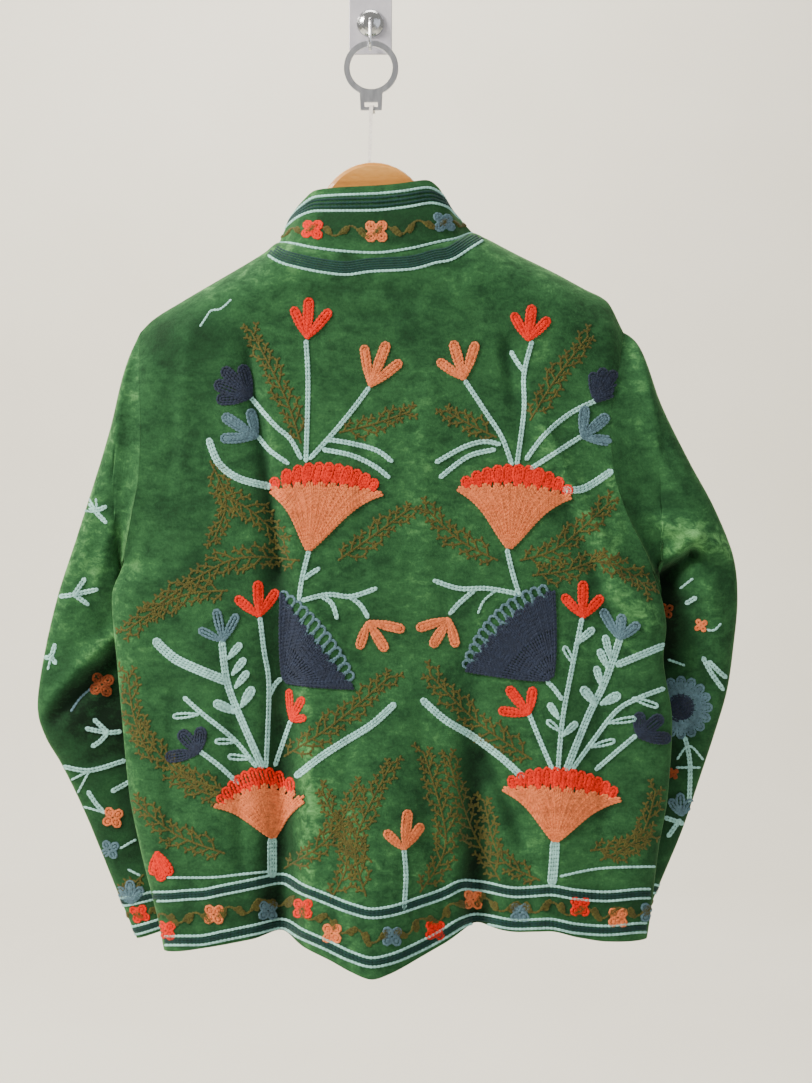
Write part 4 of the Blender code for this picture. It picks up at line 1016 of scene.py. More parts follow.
def collar_points(panels):
    """Outer points of the collar, base row first. Its base stands on the panels' neckline points."""
    last = len(COLLAR["top_x"]) - 1
    left, right = FRONT_NECK["x"][0], FRONT_NECK["x"][-1]
    base = []
    for name, first_step, last_step, order in (
        ("front_left", 0, COLLAR_TURNS[0], -1),
        ("back", COLLAR_TURNS[0], COLLAR_TURNS[1], 1),
        ("front_right", COLLAR_TURNS[1], last, 1),
    ):
        steps = np.arange(first_step, last_step + 1)
        xs = np.array(COLLAR["base_x"])[first_step : last_step + 1]
        top_row = panels[name]["points"][0]
        neck = [point for point in top_row if left - NECK_SLACK < point[0] < right + NECK_SLACK]
        for point in neck[::order]:
            way = 1 if xs[-1] > xs[0] else -1
            place = float(np.interp(way * point[0], way * xs, steps))
            if not base or place > base[-1][0] + COLLAR_COLUMNS_APART:
                base.append((place, point))
    table = {"step": tuple(range(last + 1)), **COLLAR}
    columns = []
    centre = np.mean([low for _, low in base], axis=0)
    for place, low in base:
        top = np.array([at(table, f"top_{axis}", "step", place) for axis in "xyz"])
        up, out = top - low, (low - centre) * (1, 1, 0)
        low = low - up / np.linalg.norm(up) * COLLAR_LAPS + out / np.linalg.norm(out) * COLLAR_PROUD
        count = COLLAR_ROWS * FINER_COLLAR
        rise = np.arange(count + 1)[:, None] / count
        bulge = COLLAR_BULGE * np.sin(math.pi * rise) * np.array([[0, -1, 0]])
        columns.append(low + (top - low) * rise + bulge)
    return np.transpose(np.array(columns), (1, 0, 2))


def outward(points, around):
    """Unit normals of a grid, from the neighbours of each point. around says that a row closes on itself."""
    if around:
        along_row = np.roll(points, -1, axis=1) - np.roll(points, 1, axis=1)
    else:
        along_row = np.gradient(points, axis=1)
    normals = np.cross(np.gradient(points, axis=0), along_row)
    return normals / np.maximum(np.linalg.norm(normals, axis=2, keepdims=True), TINY)


def flatten(normals, where, axis):
    """Normals on a seam turned into its plane, so that two pieces meet there. At a corner they point up."""
    flat = normals[where]
    flat[..., axis] = 0
    size = np.linalg.norm(flat, axis=-1, keepdims=True)
    normals[where] = np.where(size < CORNER, (0.0, 0.0, 1.0), flat / np.maximum(size, CORNER))


def plain_mesh(name, points, faces, material=None):
    """A mesh of points in metres, with its material."""
    mesh = bpy.data.meshes.new(name)
    mesh.from_pydata(points, [], faces)
    if material:
        mesh.materials.append(material)
    return mesh


def linked(name, data):
    """A new object in the scene for a mesh, a light or a camera."""
    made = bpy.data.objects.new(name, data)
    bpy.context.scene.collection.objects.link(made)
    return made


def smooth_shaded(made, sharp_from):
    """Smooth shading, apart from edges sharper than that angle in degrees."""
    made.data.polygons.foreach_set("use_smooth", [True] * len(made.data.polygons))
    made.data.set_sharp_from_angle(angle=math.radians(sharp_from))


def nap_and_light_of(name, points, off):
    """Painted light and shade by the way the cloth faces and by its creases, and patches of shade and nap."""
    normals = off / np.maximum(np.linalg.norm(off, axis=-1, keepdims=True), TINY)
    # Painted light: lighter facing up and left towards the window light, and a painted sheen at turned edges
    nap_and_light = PAINTED_LIGHT_UP * normals[..., 2] - PAINTED_LIGHT_LEFT * normals[..., 0] + PAINTED_SHEEN_TURNED * (1 - np.abs(normals[..., 1]))
    creases = [row for row in FOLDS_OF[name] if row[0] < CREASE_SHADE_WIDEST]
    depth = fold_depth(creases, points[..., 0], points[..., 2])
    # Painted shade in the hollows of narrow creases, and painted light on their ridges
    nap_and_light = nap_and_light - PAINTED_CREASE_SHADE * np.clip(depth, *CREASE_SHADE_LIMITS)
    # Patches of painted shade under the elbows and beside the body, a painted highlight, and brushed nap
    for x, z, wide, high, amount in NAP_LIGHT_AND_SHADE_PATCHES[name]:
        away = ((points[..., 0] - x) / wide) ** 2 + ((points[..., 2] - z) / high) ** 2
        nap_and_light = nap_and_light + amount * np.exp(-away)
    return nap_and_light


def cloth_piece(name, outer, inner, around, material, mirrored=False):
    """A thin wall: the outer grid, the inner grid one cloth thickness inside, and the rims between them."""
    if mirrored:
        outer, inner = outer[:, ::-1], inner[:, ::-1]
    rows, columns = outer.shape[:2]
    points = np.concatenate([outer.reshape(-1, 3), inner.reshape(-1, 3)])
    count = rows * columns
    faces, skin = [], []
    for r in range(rows - 1):
        for c in range(columns if around else columns - 1):
            after = (c + 1) % columns
            quad = (r * columns + c, (r + 1) * columns + c, (r + 1) * columns + after, r * columns + after)
            skin.append(quad)
            faces.append(quad)
            faces.append(tuple(count + i for i in reversed(quad)))
    rims = [list(range(columns)), [(rows - 1) * columns + c for c in reversed(range(columns))]]
    if around:
        rims = [rim + rim[:1] for rim in rims]
    else:
        ends = [r * columns + columns - 1 for r in range(rows)], [r * columns for r in reversed(range(rows))]
        rims = [rims[0], ends[0], rims[1], ends[1]]
    for rim in rims:
        for a, b in zip(rim, rim[1:]):
            faces.append((a, b, count + b, count + a))
    made = linked(name, plain_mesh(name, (points * MM).tolist(), faces, material))
    smooth_shaded(made, CLOTH_SHARP_FROM)
    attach(made, "root")
    # Painted light and shade for the velvet's colour, kept on the outer points
    nap_and_light = nap_and_light_of(name.removesuffix("_velvet"), outer, outer - inner)
    nap_and_light = np.concatenate([nap_and_light.ravel(), np.zeros(count)])
    made.data.attributes.new("nap_and_light", "FLOAT", "POINT").data.foreach_set("value", nap_and_light.astype(np.float32))
    tree = BVHTree.FromPolygons(outer.reshape(-1, 3).tolist(), skin)
    return {"object": made, "tree": tree}


def make_body(velvet):
    """Back and both fronts, with their outer points and normals, from which sleeves and collar start."""
    panels = {}
    for name, points_of, columns, sides in (
        ("back", back_points, back_columns(), (0, -1)),
        ("front_left", partial(front_points, "left"), front_columns("left"), (0,)),
        ("front_right", partial(front_points, "right"), front_columns("right"), (0,)),
    ):
        row_steps, _ = FINER[name]
        points = panel(points_of, columns, FINER[name])
        armhole_rows = (len(ARMHOLE_ROWS) - 1) * row_steps + 1
        turned = name == "front_left"
        normals = outward(points, False) * (-1 if turned else 1)
        tops = points[0, :, 0]
        left, right = FRONT_NECK["x"][0] + NECK_SLACK, FRONT_NECK["x"][-1] - NECK_SLACK
        shoulder = np.flatnonzero((tops <= left) | (tops >= right))
        neck = np.setdiff1d(np.arange(len(tops)), shoulder)
        flatten(normals, (np.array([0]), shoulder), 1)
        flatten(normals, (np.array([0]), neck), 2)
        for column in sides:
            flatten(normals, (np.arange(armhole_rows - 1), np.array([column])), 0)
            flatten(normals, (np.arange(armhole_rows - 1, len(points)), np.array([column])), 1)
        inner = points - normals * CLOTH
        keep = np.minimum if name == "back" else np.maximum
        held = TURNED_ROWS * row_steps
        inner[:held, :, 1] = keep(inner[:held, :, 1], points[0, shoulder[0], 1])
        panels[name] = {"points": points, "normals": normals, "armhole_rows": armhole_rows}
        panels[name].update(cloth_piece(f"{name}_velvet", points, inner, False, velvet, turned))
        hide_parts(name)
    return panels


def make_sleeves(velvet, panels):
    """Both sleeves. Their first ring turns its wall as the edges of the armhole do."""
    for side in ("left", "right"):
        rings = sleeve_points(side, panels)
        mirrored = side == "right"
        normals = outward(rings, True) * (-1 if mirrored else 1)
        armpit = panels["back"]["armhole_rows"] - 1
        flatten(normals, (np.array([0]), np.array([armpit])), 0)
        kept = normals[0, armpit].copy()
        normals[0] = armhole_loop(side, panels, "normals")
        normals[0, armpit] = kept
        name = f"sleeve_{side}"
        made = cloth_piece(f"{name}_velvet", rings, rings - normals * CLOTH, True, velvet, mirrored)
        panels[name] = {"points": rings, "normals": normals, **made}
        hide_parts(name)


def make_collar(velvet, panels):
    """The stand collar, open at the centre front."""
    points = collar_points(panels)
    normals = -outward(points, False)
    flatten(normals, (np.array([0]), np.arange(points.shape[1])), 2)
    made = cloth_piece("collar_velvet", points, points - normals * CLOTH, False, velvet, True)
    panels["collar"] = {"points": points, "normals": normals, **made}
    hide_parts("collar")


def arc_lengths(points):
    """How far along a route each of its points lies."""
    return np.concatenate([[0.0], np.cumsum(np.linalg.norm(np.diff(points, axis=0), axis=1))])


def even(route, step):
    """A route resampled in even steps near the given length."""
    lengths = arc_lengths(route)
    count = max(int(round(lengths[-1] / step)), 1)
    places = np.linspace(0, lengths[-1], count + 1)
    return np.stack([np.interp(places, lengths, route[:, k]) for k in range(route.shape[1])], axis=-1)


def curve(points, parts=CURVE_PARTS):
    """A smooth route through a few points."""
    points = [np.array(point, float) for point in points]
    if len(points) < 3:
        return np.array(points)
    return through(points, parts * (len(points) - 1) + 1)


def line(across, up):
    """A route from its places across and up, either of which may be one number."""
    return np.stack(np.broadcast_arrays(across, up), axis=-1)


def headings(route):
    """Unit directions along a route."""
    ahead = np.gradient(route, axis=0)
    return ahead / np.maximum(np.linalg.norm(ahead, axis=1, keepdims=True), TINY)


def beside(route, off):
    """A route moved sideways in the layout plane, by one distance or by one for each of its points."""
    ahead = headings(route)
    return route + np.stack([-ahead[:, 1], ahead[:, 0]], axis=-1) * np.reshape(off, (-1, 1))


def swung(direction, degrees):
    """A direction in the layout plane turned by an angle."""
    angle = math.radians(degrees)
    x, y = direction
    return np.array((x * math.cos(angle) - y * math.sin(angle), x * math.sin(angle) + y * math.cos(angle)))


def uneven(k, stride, count, low, high):
    """A number that jumps between low and high from one twig or leaf to the next, the same in every run."""
    return low + (high - low) * (k * stride % count) / (count - 1)


class Needlework:
    """Chain stitch on one face of a cloth piece. Its links are gathered by piece, thread and kind of row.

    A place is two lengths in millimetres: across and up in the layout plane on the faces towards the room and
    the wall, and along and up the cloth itself on the collar and the cuffs.
    """

    def __init__(self, links, name, panel, face):
        self.links, self.name, self.panel, self.face = links, name, panel, face
        points = panel["points"]
        if face == "collar":
            self.around = arc_lengths(points[len(points) // 2])
            self.along = arc_lengths(points[:, points.shape[1] // 2])
        if face == "cuff":
            ring = points[-1 - CUFF_RINGS]
            self.around = arc_lengths(np.concatenate([ring, ring[:1]]))
            self.along = arc_lengths(points[::-1, 0])

    def on_cloth(self, u, v):
        """Point and normal at u millimetres along the rows and v millimetres up from the base or the cuff."""
        closed = self.face == "cuff"
        column = np.interp(u % self.around[-1] if closed else u, self.around, np.arange(len(self.around)))
        row = np.interp(v, self.along, np.arange(len(self.along)))
        found = []
        for values in (self.panel["points"], self.panel["normals"]):
            values = values[::-1] if closed else values
            r, c = min(int(row), len(values) - 2), int(column)
            c_next = (c + 1) % values.shape[1] if closed else min(c + 1, values.shape[1] - 1)
            c %= values.shape[1]
            t, s = row - r, column - int(column)
            low = values[r, c] * (1 - s) + values[r, c_next] * s
            high = values[r + 1, c] * (1 - s) + values[r + 1, c_next] * s
            found.append(low * (1 - t) + high * t)
        return found

    def place(self, u, v):
        """Point and normal, or None where there is no cloth behind the place."""
        if self.face in ("collar", "cuff"):
            return self.on_cloth(u, v)
        start = Vector(EYE) if self.face == "room" else Vector((u, WALL_SIDE_Y, v))
        aim = Vector((u, LAYOUT_Y, v)) - start
        point, normal, _, _ = self.panel["tree"].ray_cast(start, aim.normalized())
        if point is None:
            return None
        return np.array(point), np.array(normal)

    def row(self, thread, route, fine=False, raised=0.0):
        """One row of links along a route. Links that would span a gap or stand on an edge are left out."""
        step, wide, high = (FINE_LINK, FINE_ROW_WIDE, FINE_ROW_HIGH) if fine else (LINK, ROW_WIDE, ROW_HIGH)
        found = [self.place(u, v) for u, v in even(np.asarray(route, float), step)]
        held = self.links.setdefault((self.name, thread, "fine" if fine else "full"), [])
        for a, b in zip(found, found[1:]):
            if a is None or b is None:
                continue
            ahead = b[0] - a[0]
            length = np.linalg.norm(ahead)
            if not SHORTEST_LINK * step < length < LONGEST_LINK * step:
                continue
            normal = a[1] + b[1]
            normal = normal - ahead * np.dot(normal, ahead) / length**2
            size = np.linalg.norm(normal)
            if size < EDGE_ON:
                continue
            normal = normal / size
            middle = (a[0] + b[0]) / 2 + normal * raised
            held.append((*middle, *(ahead / length), *normal, length, wide, high))

    def rows(self, thread, route, count):
        """Rows side by side along a route: each pair goes up one side, round the end and down the other."""
        route = curve(route)
        for k in range(count // 2):
            off = ((count - 1) / 2 - k) * ROW_APART
            ahead = (route[-1] - route[-2]) / np.linalg.norm(route[-1] - route[-2]) * off
            behind = (route[1] - route[0]) / np.linalg.norm(route[1] - route[0]) * off
            there, back = beside(route, off), beside(route, -off)[::-1]
            outline = [there, [route[-1] + ahead], back, [route[0] - behind], there[:1]]
            self.row(thread, np.concatenate(outline), raised=STEM_RAISED)
        if count % 2:
            self.row(thread, route, raised=STEM_RAISED)


def oval(foot, tip, wide):
    """A closed leaf shape from its foot to its tip, fullest beyond its middle."""
    up = tip - foot
    across = np.array((-up[1], up[0])) / max(np.linalg.norm(up), TINY)
    turn = 2 * math.pi * np.arange(OVAL_PARTS + 1)[:, None] / OVAL_PARTS
    along = (1 - np.cos(turn)) / 2
    return foot + up * along**OVAL_FULL + across * np.sin(turn) * wide / 2


def finger(foot, tip, wide):
    """A closed petal shape: it opens from a point at its foot, runs straight, and ends round."""
    long = max(np.linalg.norm(tip - foot), TINY)
    up = (tip - foot) / long
    across = np.array((-up[1], up[0]))
    end = min(0.5, wide / 2 / long)
    rounding = np.sin(np.linspace(FINGER_END_FROM, math.pi / 2, FINGER_PARTS))
    along = np.concatenate([np.linspace(0, 1 - end, FINGER_PARTS), 1 - end + end * rounding])
    opened = np.clip(along / FINGER_OPENS, 0, 1) ** FINGER_POWER
    rounded = np.sqrt(np.clip(1 - (np.clip(along - 1 + end, 0, None) / end) ** 2, 0, 1))
    half = (wide / 2 * opened * rounded)[:, None]
    spine = foot + up * (along * long)[:, None]
    return np.concatenate([spine + across * half, (spine - across * half)[::-1]])


def petal(cloth, thread, foot, tip, wide, open_loop=False, shape=finger, raised=0.0):
    """A petal: rows round it, one inside the other, and a row down its middle."""
    foot, tip = np.array(foot, float), np.array(tip, float)
    long = np.linalg.norm(tip - foot)
    unit = (tip - foot) / max(long, TINY)
    wide, inset = wide - ROW_WIDE / 2, 0.0
    while wide - 2 * inset > ROW_WIDE * PETAL_NARROWEST:
        cloth.row(thread, shape(foot + unit * inset, tip - unit * inset, wide - 2 * inset), raised=raised)
        if open_loop:
            return
        inset += ROW_APART
    if long > PETAL_SPINE_FROM * inset:
        spine = np.array((foot + unit * inset, tip - unit * inset))
        cloth.row(thread, spine, raised=raised + PETAL_SPINE_RAISED)


def tulip(cloth, thread, foot, tips, wide):
    """Petals from one foot, the second one a little wider and each a little higher than the last."""
    for k, tip in enumerate(tips):
        wider = TULIP_MIDDLE_WIDER if k == 1 else 1.0
        petal(cloth, thread, foot, tip, wide * wider, raised=TULIP_PETAL_STEP * k)


def blossom(cloth, thread, centre, size, turn=BLOSSOM_TURN):
    """Four small round petals about a centre."""
    centre = np.array(centre, float)
    for k in range(BLOSSOM_PETALS):
        angle = turn + 2 * math.pi * k / BLOSSOM_PETALS
        out = np.array((math.cos(angle), math.sin(angle))) * size
        petal(cloth, thread, centre + out * BLOSSOM_EYE, centre + out, size * BLOSSOM_FULL, shape=oval)


def daisy(cloth, petals, middle, centre, reach, heart, count):
    """Long petals all round a heart that is filled with a spiral."""
    for k in range(count):
        out = np.array((math.cos(2 * math.pi * k / count), math.sin(2 * math.pi * k / count)))
        wide = DAISY_PETAL_SHARE * reach / count
        petal(cloth, petals, centre + out * heart * DAISY_PETAL_START, centre + out * reach, wide)
    turn = np.linspace(0, 2 * math.pi * heart / ROW_APART, DAISY_HEART_PARTS)[:, None]
    spiral = centre + np.concatenate([np.cos(turn), np.sin(turn)], axis=1) * turn / (2 * math.pi) * ROW_APART
    cloth.row(middle, spiral, raised=DAISY_HEART_RAISED)


def fan(cloth, cup, rim, corners, cup_crown, rim_crown, petals, open_loops, start, end, peak):
    """A flared cup of rows that spread from its foot, under petals. corners are its foot, left and right."""
    foot, left, right = corners
    middle = (left + right) / 2
    up = (middle - foot) / np.linalg.norm(middle - foot)
    side = np.array((up[1], -up[0]))

    def crown(share, high, power=1.0):
        """A point of the crown that arches so high from the left tip to the right one."""
        skewed = share ** (math.log(0.5) / math.log(peak))
        return left + (right - left) * share + up * high * (4 * skewed * (1 - skewed)) ** power

    across = np.linalg.norm(right - left)
    wide = across * (end - start) / petals * (FAN_LOOP_SHARE if open_loops else FAN_PETAL_SHARE)
    for k in range(petals):
        share = start + (end - start) * (k + 0.5) / petals
        low = crown(share, cup_crown) - up * FAN_RIM_SUNK
        high = crown(share, rim_crown, FAN_RIM_POWER) + side * (share - 0.5) * across * FAN_LEAN
        petal(cloth, rim, low, high, wide, open_loops, raised=FAN_PETAL_STEP * (k % 2))
    ears = 0.0 if open_loops else FAN_EARS
    steps = np.linspace(0.0, 1.0, FAN_EDGE_STEPS)
    lengths = arc_lengths(np.array([crown(step, cup_crown) for step in steps]))
    count = int(lengths[-1] / ROW_APART)
    for k in range(count + 1):
        edge = crown(np.interp(lengths[-1] * k / count, lengths, steps), cup_crown) - foot
        level = len(FAN_STARTS) if k in (0, count) else (k & -k).bit_length()
        begin = FAN_STARTS[min(level, len(FAN_STARTS)) - 1]
        lobe = FAN_LOBE_HIGH * (abs(math.sin(math.pi * FAN_LOBES * k / count)) - 0.5) / np.linalg.norm(edge)
        t = np.linspace(begin, 1.0 + (lobe if 1 < k < count - 1 else 0.0), FAN_PARTS)[:, None]
        sideways = (1 - ears) * t**FAN_BODY_POWER + ears * t**FAN_EARS_POWER
        route = foot + up * np.dot(edge, up) * t + side * np.dot(edge, side) * sideways
        cloth.row(cup, route, raised=FAN_RAISED + FAN_RIDGE * (k % FAN_RIDGE_EVERY == 0))


def fern(cloth, points, twig):
    """A thin stem with forked twigs to both sides, longest below its middle."""
    route = even(curve(points), FERN_STEP / 2)
    cloth.row(FERN_THREAD, route, True)
    ahead = headings(route)
    for k in range(1, len(route)):
        share, way = k / (len(route) - 1), 1 if k % 2 else -1
        long = twig * (FERN_ROOT_LONG - share * FERN_SHORTER) * min(1.0, FERN_FIRST + FERN_GROWS * share)
        half = long * uneven(k, *FERN_LENGTHS) / 2
        angle = way * FERN_ANGLE
        elbow = route[k] + swung(ahead[k], angle * uneven(k, *FERN_ANGLES)) * half
        end = elbow + swung(ahead[k], angle * FERN_BEND) * half
        cloth.row(FERN_THREAD, curve((route[k], elbow, end), FERN_TWIG_PARTS), True)
        for start, leans in ((elbow, FERN_ELBOW_LEANS), (end, FERN_END_LEANS)):
            for lean in leans:
                fork = swung(ahead[k], angle * lean) * FERN_FORK
                cloth.row(FERN_THREAD, np.array((start, start + fork)), True)


def band(cloth, route):
    """A dark band of two rows between two white lines."""
    for thread, wide in (("pale", BAND_WIDE), ("teal", ROW_APART)):
        for off in (-wide / 2, wide / 2):
            cloth.row(thread, beside(route, off))


def vine(cloth, route, high, wavelength, leaf):
    """A wavy thin stem with small leaves, an even number of them to each wave."""
    fine = even(route, VINE_STEP)
    lengths = arc_lengths(fine)
    waved = beside(fine, high * np.sin(2 * math.pi * lengths / wavelength))
    cloth.row(FERN_THREAD, waved, True)
    ahead = headings(fine)
    apart = wavelength / VINE_LEAVES
    for k, place in enumerate(np.arange(apart / 2, lengths[-1], apart)):
        i = min(int(np.searchsorted(lengths, place)), len(fine) - 1)
        out = np.array((-ahead[i][1], ahead[i][0])) * (1 if (k // 2) % 2 else -1)
        long = leaf * uneven(k, *VINE_LEAF_LENGTHS)
        tip = waved[i] + out * long * VINE_LEAF_OUT + ahead[i] * long * VINE_LEAF_AHEAD[k % 2]
        petal(cloth, FERN_THREAD, waved[i], tip, leaf * VINE_LEAF_WIDE)


def border(cloth, lines, middle, flowers, share=1.0):
    """Two bands along a hem or a cuff, a vine along the middle between them, and flowers on the vine."""
    for route in lines:
        band(cloth, route)
    vine(cloth, middle, VINE_HIGH * share, VINE_LONG, VINE_LEAF * share)
    for thread, centre in flowers:
        blossom(cloth, thread, centre, BORDER_SIZE)


def in_turn(places):
    """Flowers for a border at the given places, with their threads in turn."""
    return [(FLOWER_THREADS[k % len(FLOWER_THREADS)], place) for k, place in enumerate(places)]


def sprigs(cloth, move, stems=(), leaves=(), tulips=(), fans=(), blossoms=(), daisies=(), ferns=()):
    """The motifs of one face. move holds 1, or -1 to change left and right, and a shift across and up."""
    way, *shift = move

    def put(points):
        """Places of the table, moved to this face."""
        return np.array(points, float) * (way, 1) + shift

    for count, route, *other in stems:
        cloth.rows(other[0] if other else STEM_THREAD, put(route), count)
    for foot, tip, wide in leaves:
        foot, tip = put(foot), put(tip)
        longer = (foot - tip) / np.linalg.norm(foot - tip) * LEAF_FOOT_LONGER
        petal(cloth, STEM_THREAD, foot + longer, tip, wide, wide < LEAF_FILLED_FROM)
    for thread, foot, tips, wide in tulips:
        tulip(cloth, thread, put(foot), put(tips), wide)
    for cup, rim, foot, left, right, *rest in fans:
        fan(cloth, cup, rim, put((foot, left, right)), *rest)
    for thread, centre, size in blossoms:
        blossom(cloth, thread, put(centre), size, SLEEVE_BLOSSOM_TURN)
    for petals, middle, centre, *sizes in daisies:
        daisy(cloth, petals, middle, put(centre), *sizes)
    for root, mid, tip, twig in ferns:
        fern(cloth, put((root, mid, tip)), twig)


def embroider_back(links, panels):
    """The back as the photo shows it: sprigs and fans, the hem border, and a line and a band at the neck."""
    cloth = Needlework(links, "back", panels["back"], "room")
    sprigs(cloth, AS_LAID, BACK_STEMS, BACK_LEAVES, BACK_TULIPS, BACK_FANS, ferns=BACK_FERNS)
    cloth.row("pale", curve(LOOSE_THREAD), True)
    x = np.linspace(BORDER["x"][0], BORDER["x"][-1], BORDER_PARTS)
    hem, upper, lower = (at(BORDER, column, "x", x) for column in ("z", "upper", "lower"))
    lines = (line(x, hem + upper), line(x, hem + lower))
    border(cloth, lines, line(x, hem + (upper + lower) / 2), BORDER_FLOWERS)
    neck = curve(NECK_LINE, NECK_PARTS)
    cloth.row("pale", neck)
    for k in range(NECK_ROWS):
        cloth.row("teal", beside(neck, NECK_ROWS_APART * (k + NECK_FIRST_ROW)), True)


def embroider_collar(links, panels):
    """Straight rows along the collar's base and edge, with a vine and flowers between them."""
    cloth = Needlework(links, "collar", panels["collar"], "collar")
    length, high = cloth.around[-1], cloth.along[-1]
    u = np.linspace(COLLAR_END, length - COLLAR_END, COLLAR_PARTS)
    for thread, shares in (("pale", COLLAR_WHITE), ("teal", COLLAR_DARK)):
        for share in shares:
            cloth.row(thread, line(u, high * share))
    vine(cloth, line(u, high * COLLAR_VINE), COLLAR_VINE_HIGH, VINE_LONG, VINE_LEAF)
    for thread, share in COLLAR_FLOWERS:
        blossom(cloth, thread, (length * share, high * COLLAR_VINE), COLLAR_FLOWER_SIZE)


def embroider_sleeves(links, panels):
    """A border round each cuff, and the photo's motifs on the room side and again on the wall side."""
    for side in ("left", "right"):
        name = f"sleeve_{side}"
        cuff = Needlework(links, name, panels[name], "cuff")
        length, middle = cuff.around[-1], sum(CUFF_BANDS) / 2
        around = np.linspace(0, length, CUFF_PARTS)
        flowers = in_turn([(length * (k + 0.5) / CUFF_FLOWERS, middle) for k in range(CUFF_FLOWERS)])
        border(cuff, [line(around, up) for up in CUFF_BANDS], line(around, middle), flowers, CUFF_SHARE)
        for face, move in (("room", AS_LAID), ("wall", SLEEVE_WALL_SIDE[side])):
            sprigs(Needlework(links, name, panels[name], face), move, **SLEEVE_MOTIFS[side])


def embroider_fronts(links, panels):
    """What the photo hides: the same border, with sprigs, a coral and a navy fan on each front."""
    for side, way in (("left", -1), ("right", 1)):
        cloth = Needlework(links, f"front_{side}", panels[f"front_{side}"], "wall")
        x = CENTRE_X + way * np.linspace(FRONT_GAP, FRONT_REACH, BORDER_PARTS)
        hem = at(FRONT_HEM, "z", "x", x)
        middle = hem + sum(FRONT_BANDS) / 2
        apart = BORDER_PARTS // FRONT_FLOWERS
        flowers = in_turn([(x[k], middle[k]) for k in range(apart // 2, BORDER_PARTS, apart)])
        border(cloth, [line(x, hem + up) for up in FRONT_BANDS], line(x, middle), flowers)
        sprigs(cloth, (way, CENTRE_X, 0), FRONT_STEMS, (), FRONT_TULIPS, FRONT_FANS, ferns=FRONT_FERNS)


def colour(code):
    """Linear red, green, blue and alpha from an sRGB hex code."""
    parts = [int(code[i : i + 2], 16) / 255 for i in (0, 2, 4)]
    return (*(p / 12.92 if p <= 0.04045 else ((p + 0.055) / 1.055) ** 2.4 for p in parts), 1.0)


def shade(code, share):
    """A hex code made lighter or darker."""
    return "".join(f"{min(255, round(int(code[i : i + 2], 16) * share)):02X}" for i in (0, 2, 4))


def add(tree, kind, inputs=(), stops=(), **settings):
    """One node. inputs maps sockets to a value or to another node's output. stops fill a colour ramp."""
    made = tree.nodes.new(kind)
    for name, value in settings.items():
        setattr(made, name, value)
    for name, value in dict(inputs).items():
        if isinstance(value, bpy.types.NodeSocket):
            tree.links.new(value, made.inputs[name])
        else:
            made.inputs[name].default_value = value
    for k, (place, code) in enumerate(stops):
        held = made.color_ramp.elements
        stop = held[k] if k < len(held) else held.new(place)
        stop.position, stop.color = place, colour(code)
    return made


def cloudy(tree, size, detail=3.0, rough=0.55, stretch=(1.0, 1.0, 1.0), twist=0.0, shift=(0.0, 0.0, 0.0)):
    """A pattern in object coordinates whose features are about that many millimetres across."""
    place = add(tree, "ShaderNodeTexCoord").outputs["Object"]
    scale = tuple(share / (size * MM) for share in stretch)
    moved = add(tree, "ShaderNodeMapping", {"Vector": place, "Scale": scale, "Location": shift}).outputs[0]
    made = add(tree, "ShaderNodeTexNoise", {
        "Vector": moved, "Scale": 1.0, "Detail": detail, "Roughness": rough, "Distortion": twist})
    return made.outputs["Fac"]


def begin(name, **sockets):
    """A new material with constants on its shader's sockets, and its node tree."""
    made = bpy.data.materials.new(name)
    made.use_nodes = True
    shader = made.node_tree.nodes["Principled BSDF"]
    for socket, value in sockets.items():
        shader.inputs[socket.replace("_", " ")].default_value = value
    return made, made.node_tree


def finish(made, tint, stops, gloss, rough, relief=None, strength=0.0, deep=0.0):
    """Joins a material up: tint picks its colour, gloss its roughness, and relief is so many mm deep."""
    tree = made.node_tree
    shader = tree.nodes["Principled BSDF"].inputs
    low, high = rough
    shown = add(tree, "ShaderNodeValToRGB", {"Fac": tint}, stops).outputs["Color"]
    tree.links.new(shown, shader["Base Color"])
    spread = add(tree, "ShaderNodeMapRange", {"Value": gloss, "To Min": low, "To Max": high}).outputs[0]
    tree.links.new(spread, shader["Roughness"])
    if relief:
        bump = add(tree, "ShaderNodeBump", {"Height": relief, "Strength": strength, "Distance": deep * MM})
        tree.links.new(bump.outputs["Normal"], shader["Normal"])
    return made


